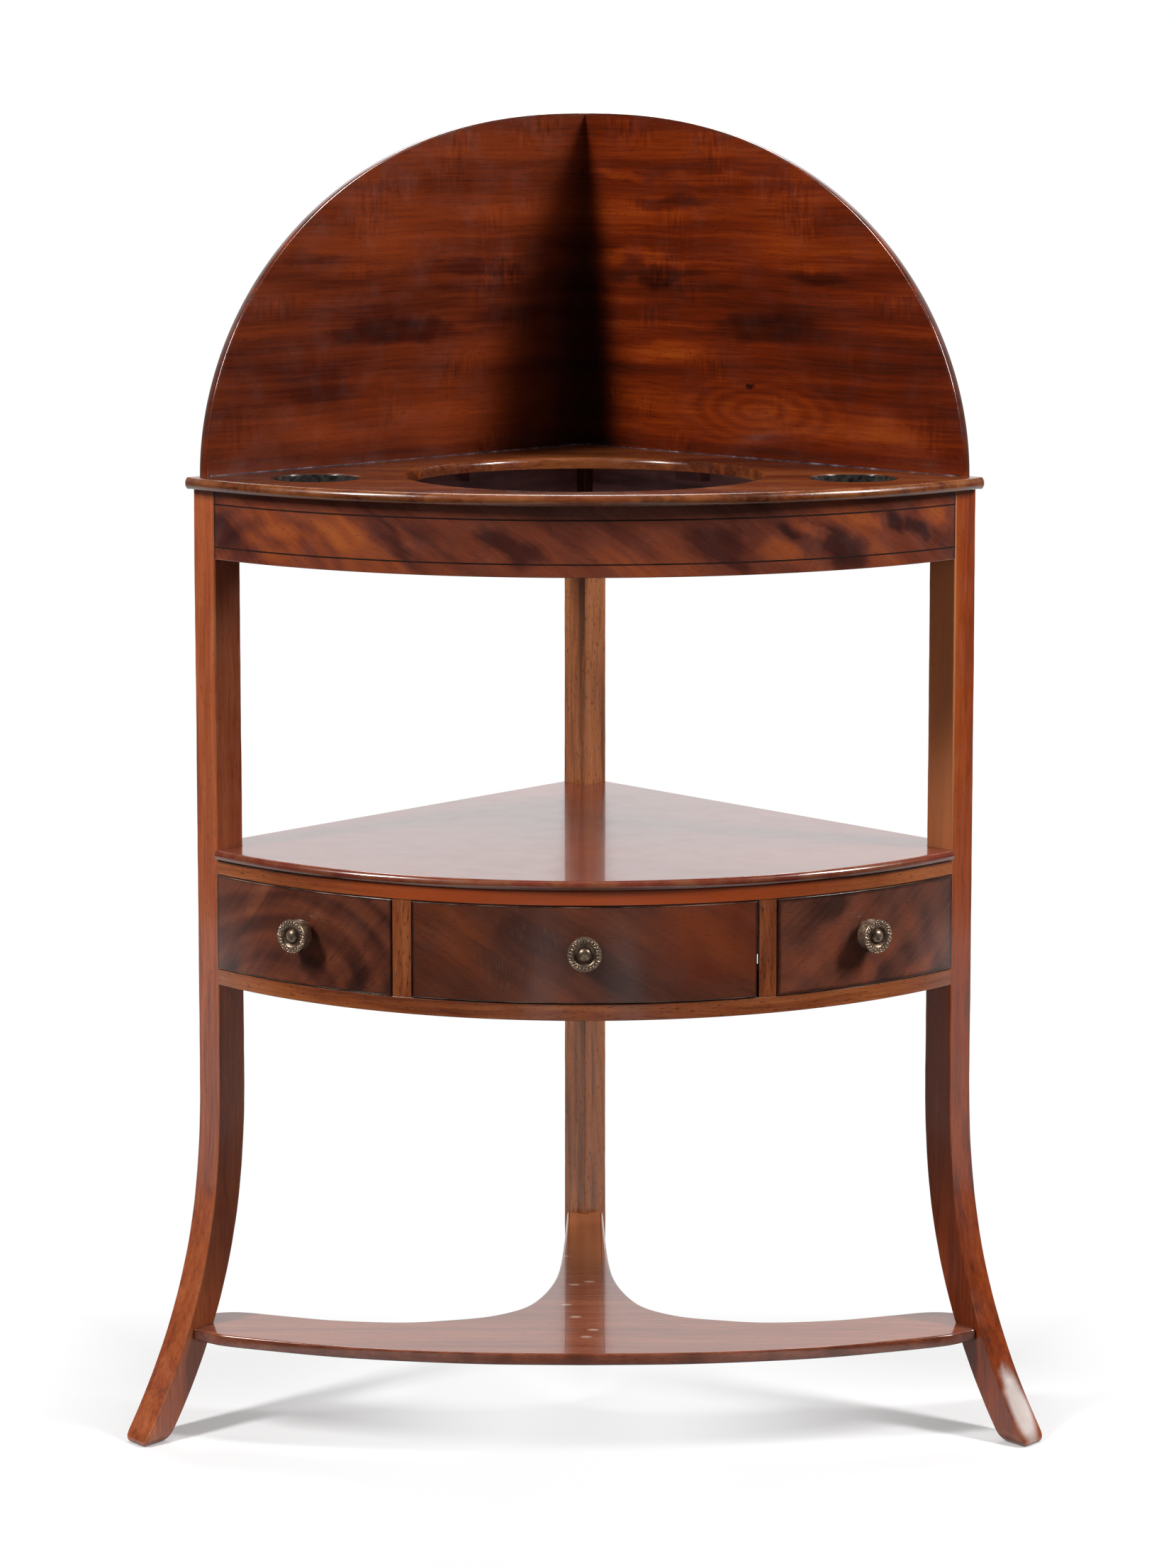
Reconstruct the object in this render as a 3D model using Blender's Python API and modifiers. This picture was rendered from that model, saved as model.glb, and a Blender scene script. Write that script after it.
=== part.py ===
"""A bow-fronted corner washstand in mahogany, modelled piece by piece, in metres, +Z up.

The plan is a quarter circle. Its centre is the front corner of the back leg, its two straight
sides lie along the two walls of a room's corner, and its arc is the bowed front. Points on the
bow are given by a radius and an angle from the middle of the front. Points along a wall are
given by the distance along the wall from the room's corner and the distance inward from it.
"""
import math

import bmesh
import bpy
from mathutils import Matrix, Vector

# Clearances
gap = 0.0003
cut_overrun = 0.010

# Legs
half_spacing = 0.300
leg_side = 0.0265
splay_start = 0.300
foot_splay = 0.084
splay_power = 2.5

# Joinery between the frame's pieces and the legs
tenon_length = 0.011
tenon_root = 0.009
tenon_thickness = 0.006

# Top board with its basin hole and cup holes
top_surface = 0.788
top_thickness = 0.0095
top_overhang = 0.011
basin_front_margin = 0.0215
basin_wall_margin = 0.06206
basin_lip = 0.0045
cup_hole_radius = 0.0365
cup_place_angle = math.radians(36.72)
cup_frieze_margin = 0.00515
cup_wall = 0.0015
cup_depth = 0.024
cup_floor_round = 0.007
cup_rim_drop = 0.0005

# Splashboards
splash_height = 0.295
splash_thickness = 0.009
splash_edge_round = 0.0035
splash_end_inset = 0.0060
arch_side_power = 2.35
arch_top_power = 1.955
screw_shank_radius = 0.0018
screw_head_radius = 0.0033
screw_head_height = 0.0022
screw_reach = 0.014
screw_place_shares = (0.14, 0.50, 0.86)

# Frieze and the wall-side rails under the top
frieze_height = 0.056
frieze_depth = 0.018
frieze_tenon_height = 0.040
string_width = 0.0015
string_depth = 0.0012
upper_string_drop = 0.0110
lower_string_rise = 0.0103
top_rail_thickness = 0.016
wall_inset = 0.001
top_block_side = 0.012
top_block_length = 0.030
frieze_block_angle = math.radians(22)
wall_block_shares = (0.33, 0.78)

# Drawer bay
lower_rail_base = 0.371
lower_rail_height = 0.0135
opening_height = 0.0785
upper_rail_height = 0.012
bow_rail_depth = 0.026
bow_rail_tenon_height = 0.007
shelf_thickness = 0.008
shelf_overhang = 0.0035
side_board_thickness = 0.010
side_board_tenon_height = 0.070
muntin_width = 0.0145
muntin_depth = 0.018
front_thickness = 0.016
runner_lap = 0.011
runner_margin = 0.003
cross_rail_y = 0.100
cross_rail_width = 0.012
guide_length = 0.030
guide_height = 0.015
guide_play = 0.0007
stop_length = 0.022
stop_depth = 0.008
stop_height = 0.0048
stop_place_share = 0.6
shelf_block_share = 0.74

# Drawer
drawer_half_width = 0.1365
drawer_side_play = 0.0015
drawer_front_play = 0.0006
drawer_kicker_play = 0.004
drawer_end_inset = 0.0003
drawer_side_thickness = 0.007
drawer_side_back_y = 0.085
drawer_back_inset = 0.006
drawer_back_thickness = 0.007
drawer_back_drop = 0.004
housing_depth = 0.003
drawer_bottom_rise = 0.0068
drawer_bottom_thickness = 0.0045
front_groove_depth = 0.004
tail_length = 0.0095
tail_wide_half = 0.0085
tail_narrow_half = 0.0065
tail_count = 3

# Knobs
knob_rise = 0.0435
false_knob_angle = math.radians(32)
knob_radius = 0.0135
knob_projection = 0.020
knob_rim_thickness = 0.0030
knob_dish_radius = 0.0110
knob_dish_depth = 0.0022
knob_boss_radius = 0.0060
knob_boss_crown = 0.0004
knob_back_slope = 0.0014
knob_flange_radius = 0.0080
knob_flange_thickness = 0.0018
knob_neck_radius = 0.0042
knob_neck_base = 0.0036
knob_neck_length = 0.0065
knob_post_radius = 0.0024
knob_nut_radius = 0.0065
knob_nut_thickness = 0.0030
knob_post_end = 0.0020

# Platform near the floor
platform_surface = 0.088
platform_thickness = 0.0096
platform_tenon_height = 0.0055
platform_tenon_width = 0.011

# The platform's left half, from the back leg round to the middle of the front: first the curve
# behind the arm, then the curve in front of it. Widths are shares of the distance out to a
# front leg at the platform's level, depths are shares of half_spacing
platform_rear_shares = (
    (0.0487, 0.975), (0.057, 0.64), (0.0671, 0.41), (0.0836, 0.27), (0.1167, 0.137),
    (0.1609, 0.045), (0.2408, -0.022), (0.3373, -0.054), (0.4624, -0.075), (0.6342, -0.057),
    (0.7721, -0.017), (0.8668, 0.012), (0.9256, 0.012), (0.9817, -0.012),
)
platform_front_shares = (
    (0.9817, -0.138), (0.9514, -0.158), (0.8999, -0.19), (0.7537, -0.24), (0.5956, -0.285),
    (0.4247, -0.316), (0.2298, -0.338), (0, -0.345),
)

# How finely curves are divided
bow_steps = 44
short_bow_steps = 16
disc_steps = 152
basin_steps = 64
cup_steps = 32
knob_steps = 24
screw_steps = 12
arch_steps = 26
splay_steps = 14
round_steps = 4
edge_round_steps = 2
smooth_steps = 3
sharp_angle = math.radians(35)
weld_distance = 0.00001

# Sizes that follow from the driving ones
quarter_turn = math.pi / 2
leg_half_diagonal = leg_side / math.sqrt(2)
bow_radius = half_spacing * math.sqrt(2)
bow_centre_y = half_spacing - leg_half_diagonal
corner_y = half_spacing + leg_half_diagonal
bow_front_y = bow_centre_y - bow_radius
cutter_reach = 2 * bow_radius
basin_room = (corner_y - bow_front_y - basin_front_margin) / math.sqrt(2) - basin_wall_margin
basin_hole_radius = basin_room / (1 + 1 / math.sqrt(2))
basin_hole_y = bow_front_y + basin_front_margin + basin_hole_radius
cup_place_radius = bow_radius - frieze_depth - cup_frieze_margin - cup_hole_radius
top_underside = top_surface - top_thickness
frame_top = top_underside - gap
frieze_bottom = frame_top - frieze_height
upper_string_height = frame_top - upper_string_drop
lower_string_height = frieze_bottom + lower_string_rise
lower_rail_top = lower_rail_base + lower_rail_height
opening_top = lower_rail_top + opening_height
knob_height = lower_rail_top + knob_rise
shelf_underside = opening_top + upper_rail_height
shelf_surface = shelf_underside + shelf_thickness
rail_inner_face = wall_inset + top_rail_thickness
board_inner_face = wall_inset + side_board_thickness
muntin_inner_x = drawer_half_width + drawer_side_play
muntin_outer_x = muntin_inner_x + muntin_width
drawer_side_outer_x = drawer_half_width - drawer_end_inset
drawer_side_inner_x = drawer_side_outer_x - drawer_side_thickness
drawer_front_bottom = lower_rail_top + drawer_front_play
drawer_front_top = opening_top - drawer_front_play
drawer_side_bottom = lower_rail_top + gap
drawer_side_top = opening_top - drawer_kicker_play
drawer_bottom_base = drawer_side_bottom + drawer_bottom_rise
drawer_bottom_top = drawer_bottom_base + drawer_bottom_thickness
platform_base = platform_surface - platform_thickness
knob_front_y = bow_front_y - knob_projection - gap
top_front_y = bow_front_y - top_overhang
plan_middle_y = (corner_y + min(knob_front_y, top_front_y)) / 2

# Finishes: colour, roughness and metallic value
finishes = {
    "leg": ("#8F4E2B", 0.38, 0.0),
    "back leg": ("#7C4A2E", 0.45, 0.0),
    "top": ("#6E3A1C", 0.25, 0.0),
    "splash": ("#70321A", 0.25, 0.0),
    "veneer": ("#7E4023", 0.30, 0.0),
    "dark veneer": ("#55301F", 0.30, 0.0),
    "rail": ("#8E5129", 0.42, 0.0),
    "shelf": ("#6B3A2B", 0.15, 0.0),
    "inside": ("#4A2C24", 0.60, 0.0),
    "pine": ("#B08A5A", 0.70, 0.0),
    "ebony": ("#241812", 0.35, 0.0),
    "brass": ("#8A7648", 0.35, 1.0),
    "iron": ("#4A4744", 0.50, 1.0),
    "cup": ("#2C2C2E", 0.25, 0.0),
}


def clear_scene():
    """Remove what the file opened with."""
    for thing in list(bpy.data.objects):
        bpy.data.objects.remove(thing)
    for collection in list(bpy.data.collections):
        bpy.data.collections.remove(collection)


def new_collection(name):
    """A collection in the scene."""
    collection = bpy.data.collections.new(name)
    bpy.context.scene.collection.children.link(collection)
    return collection


def new_empty(name, location, parent=None):
    """An empty that carries other objects."""
    empty = bpy.data.objects.new(name, None)
    parts.objects.link(empty)
    empty.location = location
    empty.parent = parent
    return empty


def linear(channel):
    """A colour channel as light, from its value on a screen."""
    if channel <= 0.04045:
        return channel / 12.92
    return ((channel + 0.055) / 1.055) ** 2.4


def finish(thing, kind):
    """Give a piece a Principled material of its own."""
    code, roughness, metallic = finishes[kind]
    channels = [linear(int(code[start:start + 2], 16) / 255) for start in (1, 3, 5)]
    material = bpy.data.materials.new(thing.name + "_finish")
    material.use_nodes = True
    shader = material.node_tree.nodes["Principled BSDF"]
    shader.inputs["Base Color"].default_value = (*channels, 1)
    shader.inputs["Roughness"].default_value = roughness
    shader.inputs["Metallic"].default_value = metallic
    thing.data.materials.clear()
    thing.data.materials.append(material)


def place(name, mesh, location, rotation, carrier):
    """Put a mesh in the scene, as a piece or, when nothing carries it, as a cutter."""
    thing = bpy.data.objects.new(name, mesh)
    thing.location = location
    thing.rotation_euler = rotation
    if carrier is None:
        cutters.objects.link(thing)
        thing.parent = stand
        thing.display_type = "WIRE"
        thing.hide_render = True
    else:
        parts.objects.link(thing)
        thing.parent = carrier
    return thing


def block(name, size, location, turn=0.0, carrier=None):
    """A box with its length along the turn's direction."""
    mesh = bpy.data.meshes.new(name)
    model = bmesh.new()
    bmesh.ops.create_cube(model, size=1, matrix=Matrix.Diagonal((*size, 1)))
    model.to_mesh(mesh)
    model.free()
    return place(name, mesh, location, (0, 0, turn), carrier)


def clean_mesh(mesh):
    """Weld a filled outline's caps to its sides and turn its faces outward."""
    model = bmesh.new()
    model.from_mesh(mesh)
    bmesh.ops.remove_doubles(model, verts=model.verts, dist=weld_distance)
    bmesh.ops.recalc_face_normals(model, faces=model.faces)
    model.to_mesh(mesh)
    model.free()
    mesh.shade_smooth()
    mesh.set_sharp_from_angle(angle=sharp_angle)


def slab(name, outline, thickness, location, rotation=(0, 0, 0), carrier=None, rounding=0.0):
    """A flat outline with a thickness, its middle at the location's height."""
    curve = bpy.data.curves.new(name, "CURVE")
    curve.dimensions = "2D"
    curve.fill_mode = "BOTH"
    curve.extrude = thickness / 2 - rounding
    curve.bevel_depth = rounding
    curve.bevel_resolution = edge_round_steps
    curve.offset = -rounding
    spline = curve.splines.new("POLY")
    spline.points.add(len(outline) - 1)
    for point, (x, y) in zip(spline.points, outline):
        point.co = (x, y, 0, 1)
    spline.use_cyclic_u = True
    drawn = bpy.data.objects.new(name, curve)
    parts.objects.link(drawn)
    seen = drawn.evaluated_get(bpy.context.evaluated_depsgraph_get())
    mesh = bpy.data.meshes.new_from_object(seen)
    bpy.data.objects.remove(drawn)
    clean_mesh(mesh)
    return place(name, mesh, location, rotation, carrier)


def turned(name, profile, steps, location, rotation=(0, 0, 0), carrier=None, closed=False):
    """A turned solid: the profile's radii and heights run down its outer side."""
    points = [(radius, 0, height) for radius, height in profile]
    edges = [(number, number + 1) for number in range(len(points) - 1)]
    if closed:
        edges.append((len(points) - 1, 0))
    mesh = bpy.data.meshes.new(name)
    mesh.from_pydata(points, edges, [])
    thing = place(name, mesh, location, rotation, carrier)
    screw = thing.modifiers.new("turn", "SCREW")
    screw.steps = steps
    screw.render_steps = steps
    screw.use_merge_vertices = True
    screw.merge_threshold = weld_distance
    return thing


def boolean(owner, operand, operation):
    """Join a shape to a piece, or cut it from the piece."""
    modifier = owner.modifiers.new(operation.lower(), "BOOLEAN")
    modifier.operation = operation
    modifier.object = operand


def spread(first, last, count):
    """Evenly spaced values from first to last, both included."""
    return [first + (last - first) * step / count for step in range(count + 1)]


def side_name(side, name):
    """The name of a piece that has a left and a right copy."""
    return ("left_" if side < 0 else "right_") + name


def bow_point(radius, angle):
    """A plan point at an angle from the middle of the front."""
    return (radius * math.sin(angle), bow_centre_y - radius * math.cos(angle))


def bow_y(radius, x):
    """Where an arc of the bow lies at a distance from the middle."""
    return bow_centre_y - math.sqrt(radius ** 2 - x ** 2)


def straight_edge(x):
    """An end that runs straight back at a distance from the middle."""
    return lambda radius: math.asin(x / radius)


def leg_edge(side):
    """An end that stands a gap clear of a front leg's inner face."""
    return lambda radius: side * (quarter_turn / 2 - math.asin(gap / radius))


def bow_outline(outer, inner, left, right, steps):
    """A strip of the bow between two radii and two ends."""
    front = [bow_point(outer, angle) for angle in spread(left(outer), right(outer), steps)]
    back = [bow_point(inner, angle) for angle in spread(right(inner), left(inner), steps)]
    return front + back


def strip_outline(left_x, right_x, front_radius, back_y):
    """A strip that runs straight back from an arc of the bow."""
    front = [(x, bow_y(front_radius, x)) for x in spread(left_x, right_x, round_steps)]
    return front + [(right_x, back_y), (left_x, back_y)]


def level_slab(name, outline, bottom, top, carrier=None, rounding=0.0):
    """A level slab between two heights."""
    middle = (0, 0, (bottom + top) / 2)
    return slab(name, outline, top - bottom, middle, (0, 0, 0), carrier, rounding)


def wall_heading(side):
    """The direction along a wall, away from the room's corner."""
    return side * quarter_turn / 2 - quarter_turn


def wall_point(side, along, inward, height):
    """A point by its distance along a wall and its distance in from it."""
    x = side * (along - inward) / math.sqrt(2)
    y = corner_y - (along + inward) / math.sqrt(2)
    return Vector((x, y, height))


def wall_board(name, side, along, inward, heights, carrier=None):
    """A straight board beside a wall, from its three pairs of limits."""
    middle = wall_point(side, sum(along) / 2, sum(inward) / 2, sum(heights) / 2)
    size = (along[1] - along[0], inward[1] - inward[0], heights[1] - heights[0])
    return block(name, size, middle, wall_heading(side), carrier)


def splay(height):
    """How far a front leg has swept out along its wall at a height."""
    if height >= splay_start:
        return 0.0
    return foot_splay * (1 - height / splay_start) ** splay_power


def front_leg(name, side, clearance=0.0, carrier=None):
    """A front leg, or with a clearance the notch that fits round it."""
    half = leg_side / 2 + clearance
    heights = [frame_top] + spread(splay_start, 0, splay_steps)
    outer = [(splay(height) + half, height) for height in heights]
    inner = [(splay(height) - half, height) for height in reversed(heights)]
    foot = wall_point(side, bow_radius + leg_side / 2, leg_side / 2, 0)
    rotation = (quarter_turn, 0, wall_heading(side))
    return slab(name, outer + inner, 2 * half, foot, rotation, carrier)


def join_tenon(owner, leg, root, turn, width, height):
    """Grow a tenon on a piece towards a leg's face, and cut its mortise in the leg."""
    name = owner.name + "_" + leg.name
    away = Vector((math.cos(turn), math.sin(turn), 0))
    tongue_size = (tenon_length + tenon_root, width, height)
    tongue_middle = root + away * (tenon_length - tenon_root) / 2
    tongue = block(name + "_tenon", tongue_size, tongue_middle, turn)
    boolean(owner, tongue, "UNION")
    socket_size = (tenon_length + gap + cut_overrun, width + 2 * gap, height + 2 * gap)
    socket_middle = root + away * (tenon_length + gap - cut_overrun) / 2
    socket = block(name + "_mortise", socket_size, socket_middle, turn)
    boolean(leg, socket, "DIFFERENCE")


def join_bow_ends(owner, depth, height, middle):
    """Tenon both ends of a bow piece into the front legs."""
    for side in (-1, 1):
        root = wall_point(side, bow_radius + leg_side - depth / 2, leg_side, middle)
        turn = wall_heading(side) + side * quarter_turn
        join_tenon(owner, legs[side], root, turn, tenon_thickness, height)


def join_wall_ends(owner, side, inward, height, middle):
    """Tenon both ends of a wall-side piece into the front leg and the back leg."""
    front = wall_point(side, bow_radius, inward, middle)
    back = wall_point(side, leg_side, inward, middle)
    join_tenon(owner, legs[side], front, wall_heading(side), tenon_thickness, height)
    join_tenon(owner, back_leg, back, wall_heading(side) + math.pi, tenon_thickness, height)


def make_frieze():
    """The curved apron, its two tenons and the two dark lines let into its face."""
    ends = (leg_edge(-1), leg_edge(1))
    outline = bow_outline(bow_radius, bow_radius - frieze_depth, *ends, bow_steps)
    frieze = level_slab("bow_frieze", outline, frieze_bottom, frame_top, stand)
    join_bow_ends(frieze, frieze_depth, frieze_tenon_height, (frieze_bottom + frame_top) / 2)
    finish(frieze, "veneer")
    groove_ends = (lambda radius: -quarter_turn, lambda radius: quarter_turn)
    for name, height in (("upper", upper_string_height), ("lower", lower_string_height)):
        inner = bow_radius - string_depth
        low = height - string_width / 2
        high = height + string_width / 2
        outline = bow_outline(bow_radius, inner, *ends, bow_steps)
        string = level_slab(name + "_stringing", outline, low, high, stand)
        finish(string, "ebony")
        outer = bow_radius + cut_overrun
        outline = bow_outline(outer, inner - gap, *groove_ends, 2 * bow_steps)
        groove = level_slab(name + "_groove", outline, low - gap, high + gap)
        boolean(frieze, groove, "DIFFERENCE")


def make_wall_pieces(side):
    """The rail under the top board and the board beside the drawer, on one wall."""
    along = (leg_side + gap, bow_radius - gap)
    heights = (frieze_bottom, frame_top)
    name = side_name(side, "top_rail")
    rail = wall_board(name, side, along, (wall_inset, rail_inner_face), heights, stand)
    inward = (wall_inset + rail_inner_face) / 2
    join_wall_ends(rail, side, inward, frieze_tenon_height, sum(heights) / 2)
    finish(rail, "inside")
    heights = (lower_rail_base, shelf_underside - gap)
    name = side_name(side, "side_board")
    board = wall_board(name, side, along, (wall_inset, board_inner_face), heights, stand)
    inward = (wall_inset + board_inner_face) / 2
    join_wall_ends(board, side, inward, side_board_tenon_height, sum(heights) / 2)
    finish(board, "inside")


def make_bow_rails():
    """The curved rails below and above the drawers."""
    ends = (leg_edge(-1), leg_edge(1))
    outline = bow_outline(bow_radius, bow_radius - bow_rail_depth, *ends, bow_steps)
    lower = level_slab("lower_bow_rail", outline, lower_rail_base, lower_rail_top, stand)
    upper = level_slab("upper_bow_rail", outline, opening_top, shelf_underside - gap, stand)
    middles = ((lower_rail_base + lower_rail_top) / 2, (opening_top + shelf_underside) / 2)
    for rail, middle in zip((lower, upper), middles):
        join_bow_ends(rail, bow_rail_depth, bow_rail_tenon_height, middle)
        finish(rail, "rail")


def rounded_disc(name, radius, bottom, top, carrier):
    """A disc about the bow's centre with a half-round edge."""
    half = (top - bottom) / 2
    edge = [
        (radius - half + half * math.sin(angle), half * math.cos(angle))
        for angle in spread(0, math.pi, 2 * round_steps)
    ]
    profile = [(0, half)] + edge + [(0, -half)]
    middle = (0, bow_centre_y, (bottom + top) / 2)
    return turned(name, profile, disc_steps, middle, (0, 0, 0), carrier)


def make_wall_cutters():
    """Two boxes behind the wall planes, which trim the top board and the shelf square."""
    along = (-cutter_reach, cutter_reach)
    behind = (-cutter_reach, 0)
    heights = (lower_rail_base, top_surface + cut_overrun)
    walls = []
    for side in (-1, 1):
        walls.append(wall_board(side_name(side, "wall"), side, along, behind, heights))
    return walls


def hole_profile(radius, lip):
    """A hole through the top board with a rounded upper edge."""
    curve = [
        (radius + lip - lip * math.cos(angle), top_surface - lip + lip * math.sin(angle))
        for angle in spread(quarter_turn, 0, round_steps)
    ]
    above = top_surface + cut_overrun
    below = top_underside - cut_overrun
    return [(0, above), (radius + lip, above)] + curve + [(radius, below), (0, below)]


def make_top(walls):
    """The top board, trimmed to the walls, with its basin hole and cup holes."""
    radius = bow_radius + top_overhang
    board = rounded_disc("top_board", radius, top_underside, top_surface, stand)
    for wall in walls:
        boolean(board, wall, "DIFFERENCE")
    profile = hole_profile(basin_hole_radius, basin_lip)
    hole = turned("basin_hole", profile, basin_steps, (0, basin_hole_y, 0))
    boolean(board, hole, "DIFFERENCE")
    below = top_underside - cut_overrun
    above = top_surface + cut_overrun
    straight = [(0, above), (cup_hole_radius, above), (cup_hole_radius, below), (0, below)]
    for side in (-1, 1):
        location = (*bow_point(cup_place_radius, side * cup_place_angle), 0)
        hole = turned(side_name(side, "cup_hole"), straight, cup_steps, location)
        boolean(board, hole, "DIFFERENCE")
    finish(board, "top")
    return board


def make_soap_cup(side):
    """A dark turned cup, set in its hole with its rim just below the board's surface."""
    outer = cup_hole_radius - gap
    inner = outer - cup_wall
    rim = top_surface - cup_rim_drop
    base = rim - cup_depth
    floor = base + cup_wall
    corner = cup_floor_round
    inner_corner = cup_floor_round - cup_wall
    inside = [
        (inner - inner_corner + inner_corner * math.sin(angle),
         floor + inner_corner - inner_corner * math.cos(angle))
        for angle in spread(0, quarter_turn, round_steps)
    ]
    outside = [
        (outer - corner + corner * math.sin(angle), base + corner - corner * math.cos(angle))
        for angle in spread(quarter_turn, 0, round_steps)
    ]
    profile = [(0, floor)] + inside + [(inner, rim), (outer, rim)] + outside + [(0, base)]
    location = (*bow_point(cup_place_radius, side * cup_place_angle), 0)
    name = side_name(side, "soap_cup")
    cup = turned(name, profile, cup_steps, location, (0, 0, 0), stand)
    finish(cup, "cup")


def arch_outline():
    """A splashboard's face: an arch over a base that runs past the trimmed edges."""
    reach = bow_radius + leg_side - splash_end_inset
    arch = [
        (reach * math.cos(angle) ** (2 / arch_side_power),
         splash_height * math.sin(angle) ** (2 / arch_top_power))
        for angle in spread(0, quarter_turn, arch_steps)
    ]
    arch[-1] = (0, splash_height)
    return [(-cut_overrun, -cut_overrun), (reach, -cut_overrun)] + arch + [
        (-cut_overrun, splash_height)]


def screw_profile(clearance=0.0):
    """A countersunk screw, head down, or with a clearance the hole that it fills."""
    shank = screw_shank_radius + clearance
    head = screw_head_radius + clearance
    tip = top_thickness + screw_reach + clearance
    profile = [(0, tip), (shank, tip), (shank, screw_head_height), (head, 0)]
    if clearance:
        profile += [(head, -cut_overrun), (0, -cut_overrun)]
    else:
        profile.append((0, 0))
    return profile


def make_splashboards(top_board):
    """Two arched boards, mitred in the corner, and the screws that hold them."""
    base = top_surface + gap
    floor_size = (2 * cutter_reach, 2 * cutter_reach, 2 * cut_overrun)
    floor = block("splash_floor", floor_size, (0, 0, base - cut_overrun))
    for side in (-1, 1):
        name = side_name(side, "splashboard")
        middle = wall_point(side, 0, splash_thickness / 2, base)
        rotation = (quarter_turn, 0, wall_heading(side))
        board = slab(
            name, arch_outline(), splash_thickness, middle, rotation, stand, splash_edge_round)
        boolean(board, floor, "DIFFERENCE")
        mitre_size = (cutter_reach, cutter_reach, cutter_reach)
        mitre_middle = (side * (gap - cutter_reach) / 2, corner_y, base)
        mitre = block(side_name(side, "mitre"), mitre_size, mitre_middle)
        boolean(board, mitre, "DIFFERENCE")
        for number, share in enumerate(screw_place_shares, start=1):
            location = wall_point(side, bow_radius * share, splash_thickness / 2, top_underside)
            label = side_name(side, "splash_screw_") + str(number)
            screw = turned(label, screw_profile(), screw_steps, location, (0, 0, 0), stand)
            finish(screw, "iron")
            hole = turned(label + "_hole", screw_profile(gap), screw_steps, location)
            boolean(board, hole, "DIFFERENCE")
            boolean(top_board, hole, "DIFFERENCE")
        finish(board, "splash")


def make_top_blocks():
    """Glue blocks under the top board, behind the frieze and beside the wall-side rails."""
    low = frame_top - top_block_side
    heights = (low, frame_top)
    face = bow_radius - frieze_depth - gap
    seat = math.sqrt(face ** 2 - (top_block_length / 2) ** 2)
    size = (top_block_length, top_block_side, top_block_side)
    for side in (-1, 1):
        angle = side * frieze_block_angle
        x, y = bow_point(seat - top_block_side / 2, angle)
        location = (x, y, sum(heights) / 2)
        finish(block(side_name(side, "frieze_block"), size, location, angle, stand), "pine")
        inward = (rail_inner_face + gap, rail_inner_face + gap + top_block_side)
        for number, share in enumerate(wall_block_shares, start=1):
            start = share * bow_radius
            along = (start, start + top_block_length)
            name = side_name(side, "rail_block_") + str(number)
            finish(wall_board(name, side, along, inward, heights, stand), "pine")


def make_shelf(walls):
    """The middle shelf, trimmed to the walls and notched round the three legs."""
    radius = bow_radius + shelf_overhang
    shelf = rounded_disc("middle_shelf", radius, shelf_underside, shelf_surface, stand)
    for wall in walls:
        boolean(shelf, wall, "DIFFERENCE")
    heights = (shelf_underside - cut_overrun, shelf_surface + cut_overrun)
    inward = (-cut_overrun, leg_side + gap)
    for side in (-1, 1):
        along = (bow_radius - gap, bow_radius + leg_side + cut_overrun)
        notch = wall_board(side_name(side, "shelf_notch"), side, along, inward, heights)
        boolean(shelf, notch, "DIFFERENCE")
    back = wall_board("back_shelf_notch", -1, inward, inward, heights)
    boolean(shelf, back, "DIFFERENCE")
    finish(shelf, "shelf")
    low = shelf_underside - gap - top_block_side
    inward = (board_inner_face + gap, board_inner_face + gap + top_block_side)
    heights = (low, shelf_underside - gap)
    for side in (-1, 1):
        start = shelf_block_share * bow_radius
        along = (start, start + top_block_length)
        name = side_name(side, "shelf_block")
        finish(wall_board(name, side, along, inward, heights, stand), "pine")


def side_span(side, near, far):
    """A pair of distances from the middle as left and right limits on one side."""
    return sorted((side * near, side * far))


def make_bay(side):
    """The upright, the dummy front and the drawer's guides on one side of the drawer."""
    near, far = side_span(side, muntin_inner_x, muntin_outer_x)
    edges = (straight_edge(near), straight_edge(far))
    inner = bow_radius - muntin_depth
    outline = bow_outline(bow_radius, inner, *edges, round_steps)
    bottom = lower_rail_top + gap
    top = opening_top - gap
    muntin = level_slab(side_name(side, "muntin"), outline, bottom, top, stand)
    finish(muntin, "rail")

    edges = [straight_edge(side * (muntin_outer_x + gap)), leg_edge(side)]
    if side < 0:
        edges.reverse()
    inner = bow_radius - front_thickness
    outline = bow_outline(bow_radius, inner, *edges, short_bow_steps)
    front = level_slab(side_name(side, "false_drawer_front"), outline, bottom, top, stand)
    finish(front, "dark veneer")
    make_knob(side_name(side, "knob"), side * false_knob_angle, front, stand)

    back_y = cross_rail_y - cross_rail_width / 2 - gap
    front_radius = bow_radius - bow_rail_depth - gap
    limits = (drawer_side_inner_x - runner_lap, drawer_half_width + runner_margin)
    outline = strip_outline(*side_span(side, *limits), front_radius, back_y)
    name = side_name(side, "runner")
    finish(level_slab(name, outline, lower_rail_base, lower_rail_top, stand), "pine")
    name = side_name(side, "kicker")
    finish(level_slab(name, outline, opening_top, shelf_underside - gap, stand), "pine")

    limits = (drawer_half_width + guide_play, muntin_outer_x)
    guide_back_y = bow_y(inner, muntin_outer_x) + guide_length
    front_radius = bow_radius - muntin_depth - gap
    outline = strip_outline(*side_span(side, *limits), front_radius, guide_back_y)
    name = side_name(side, "guide_block")
    finish(level_slab(name, outline, bottom, bottom + guide_height, stand), "pine")


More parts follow.
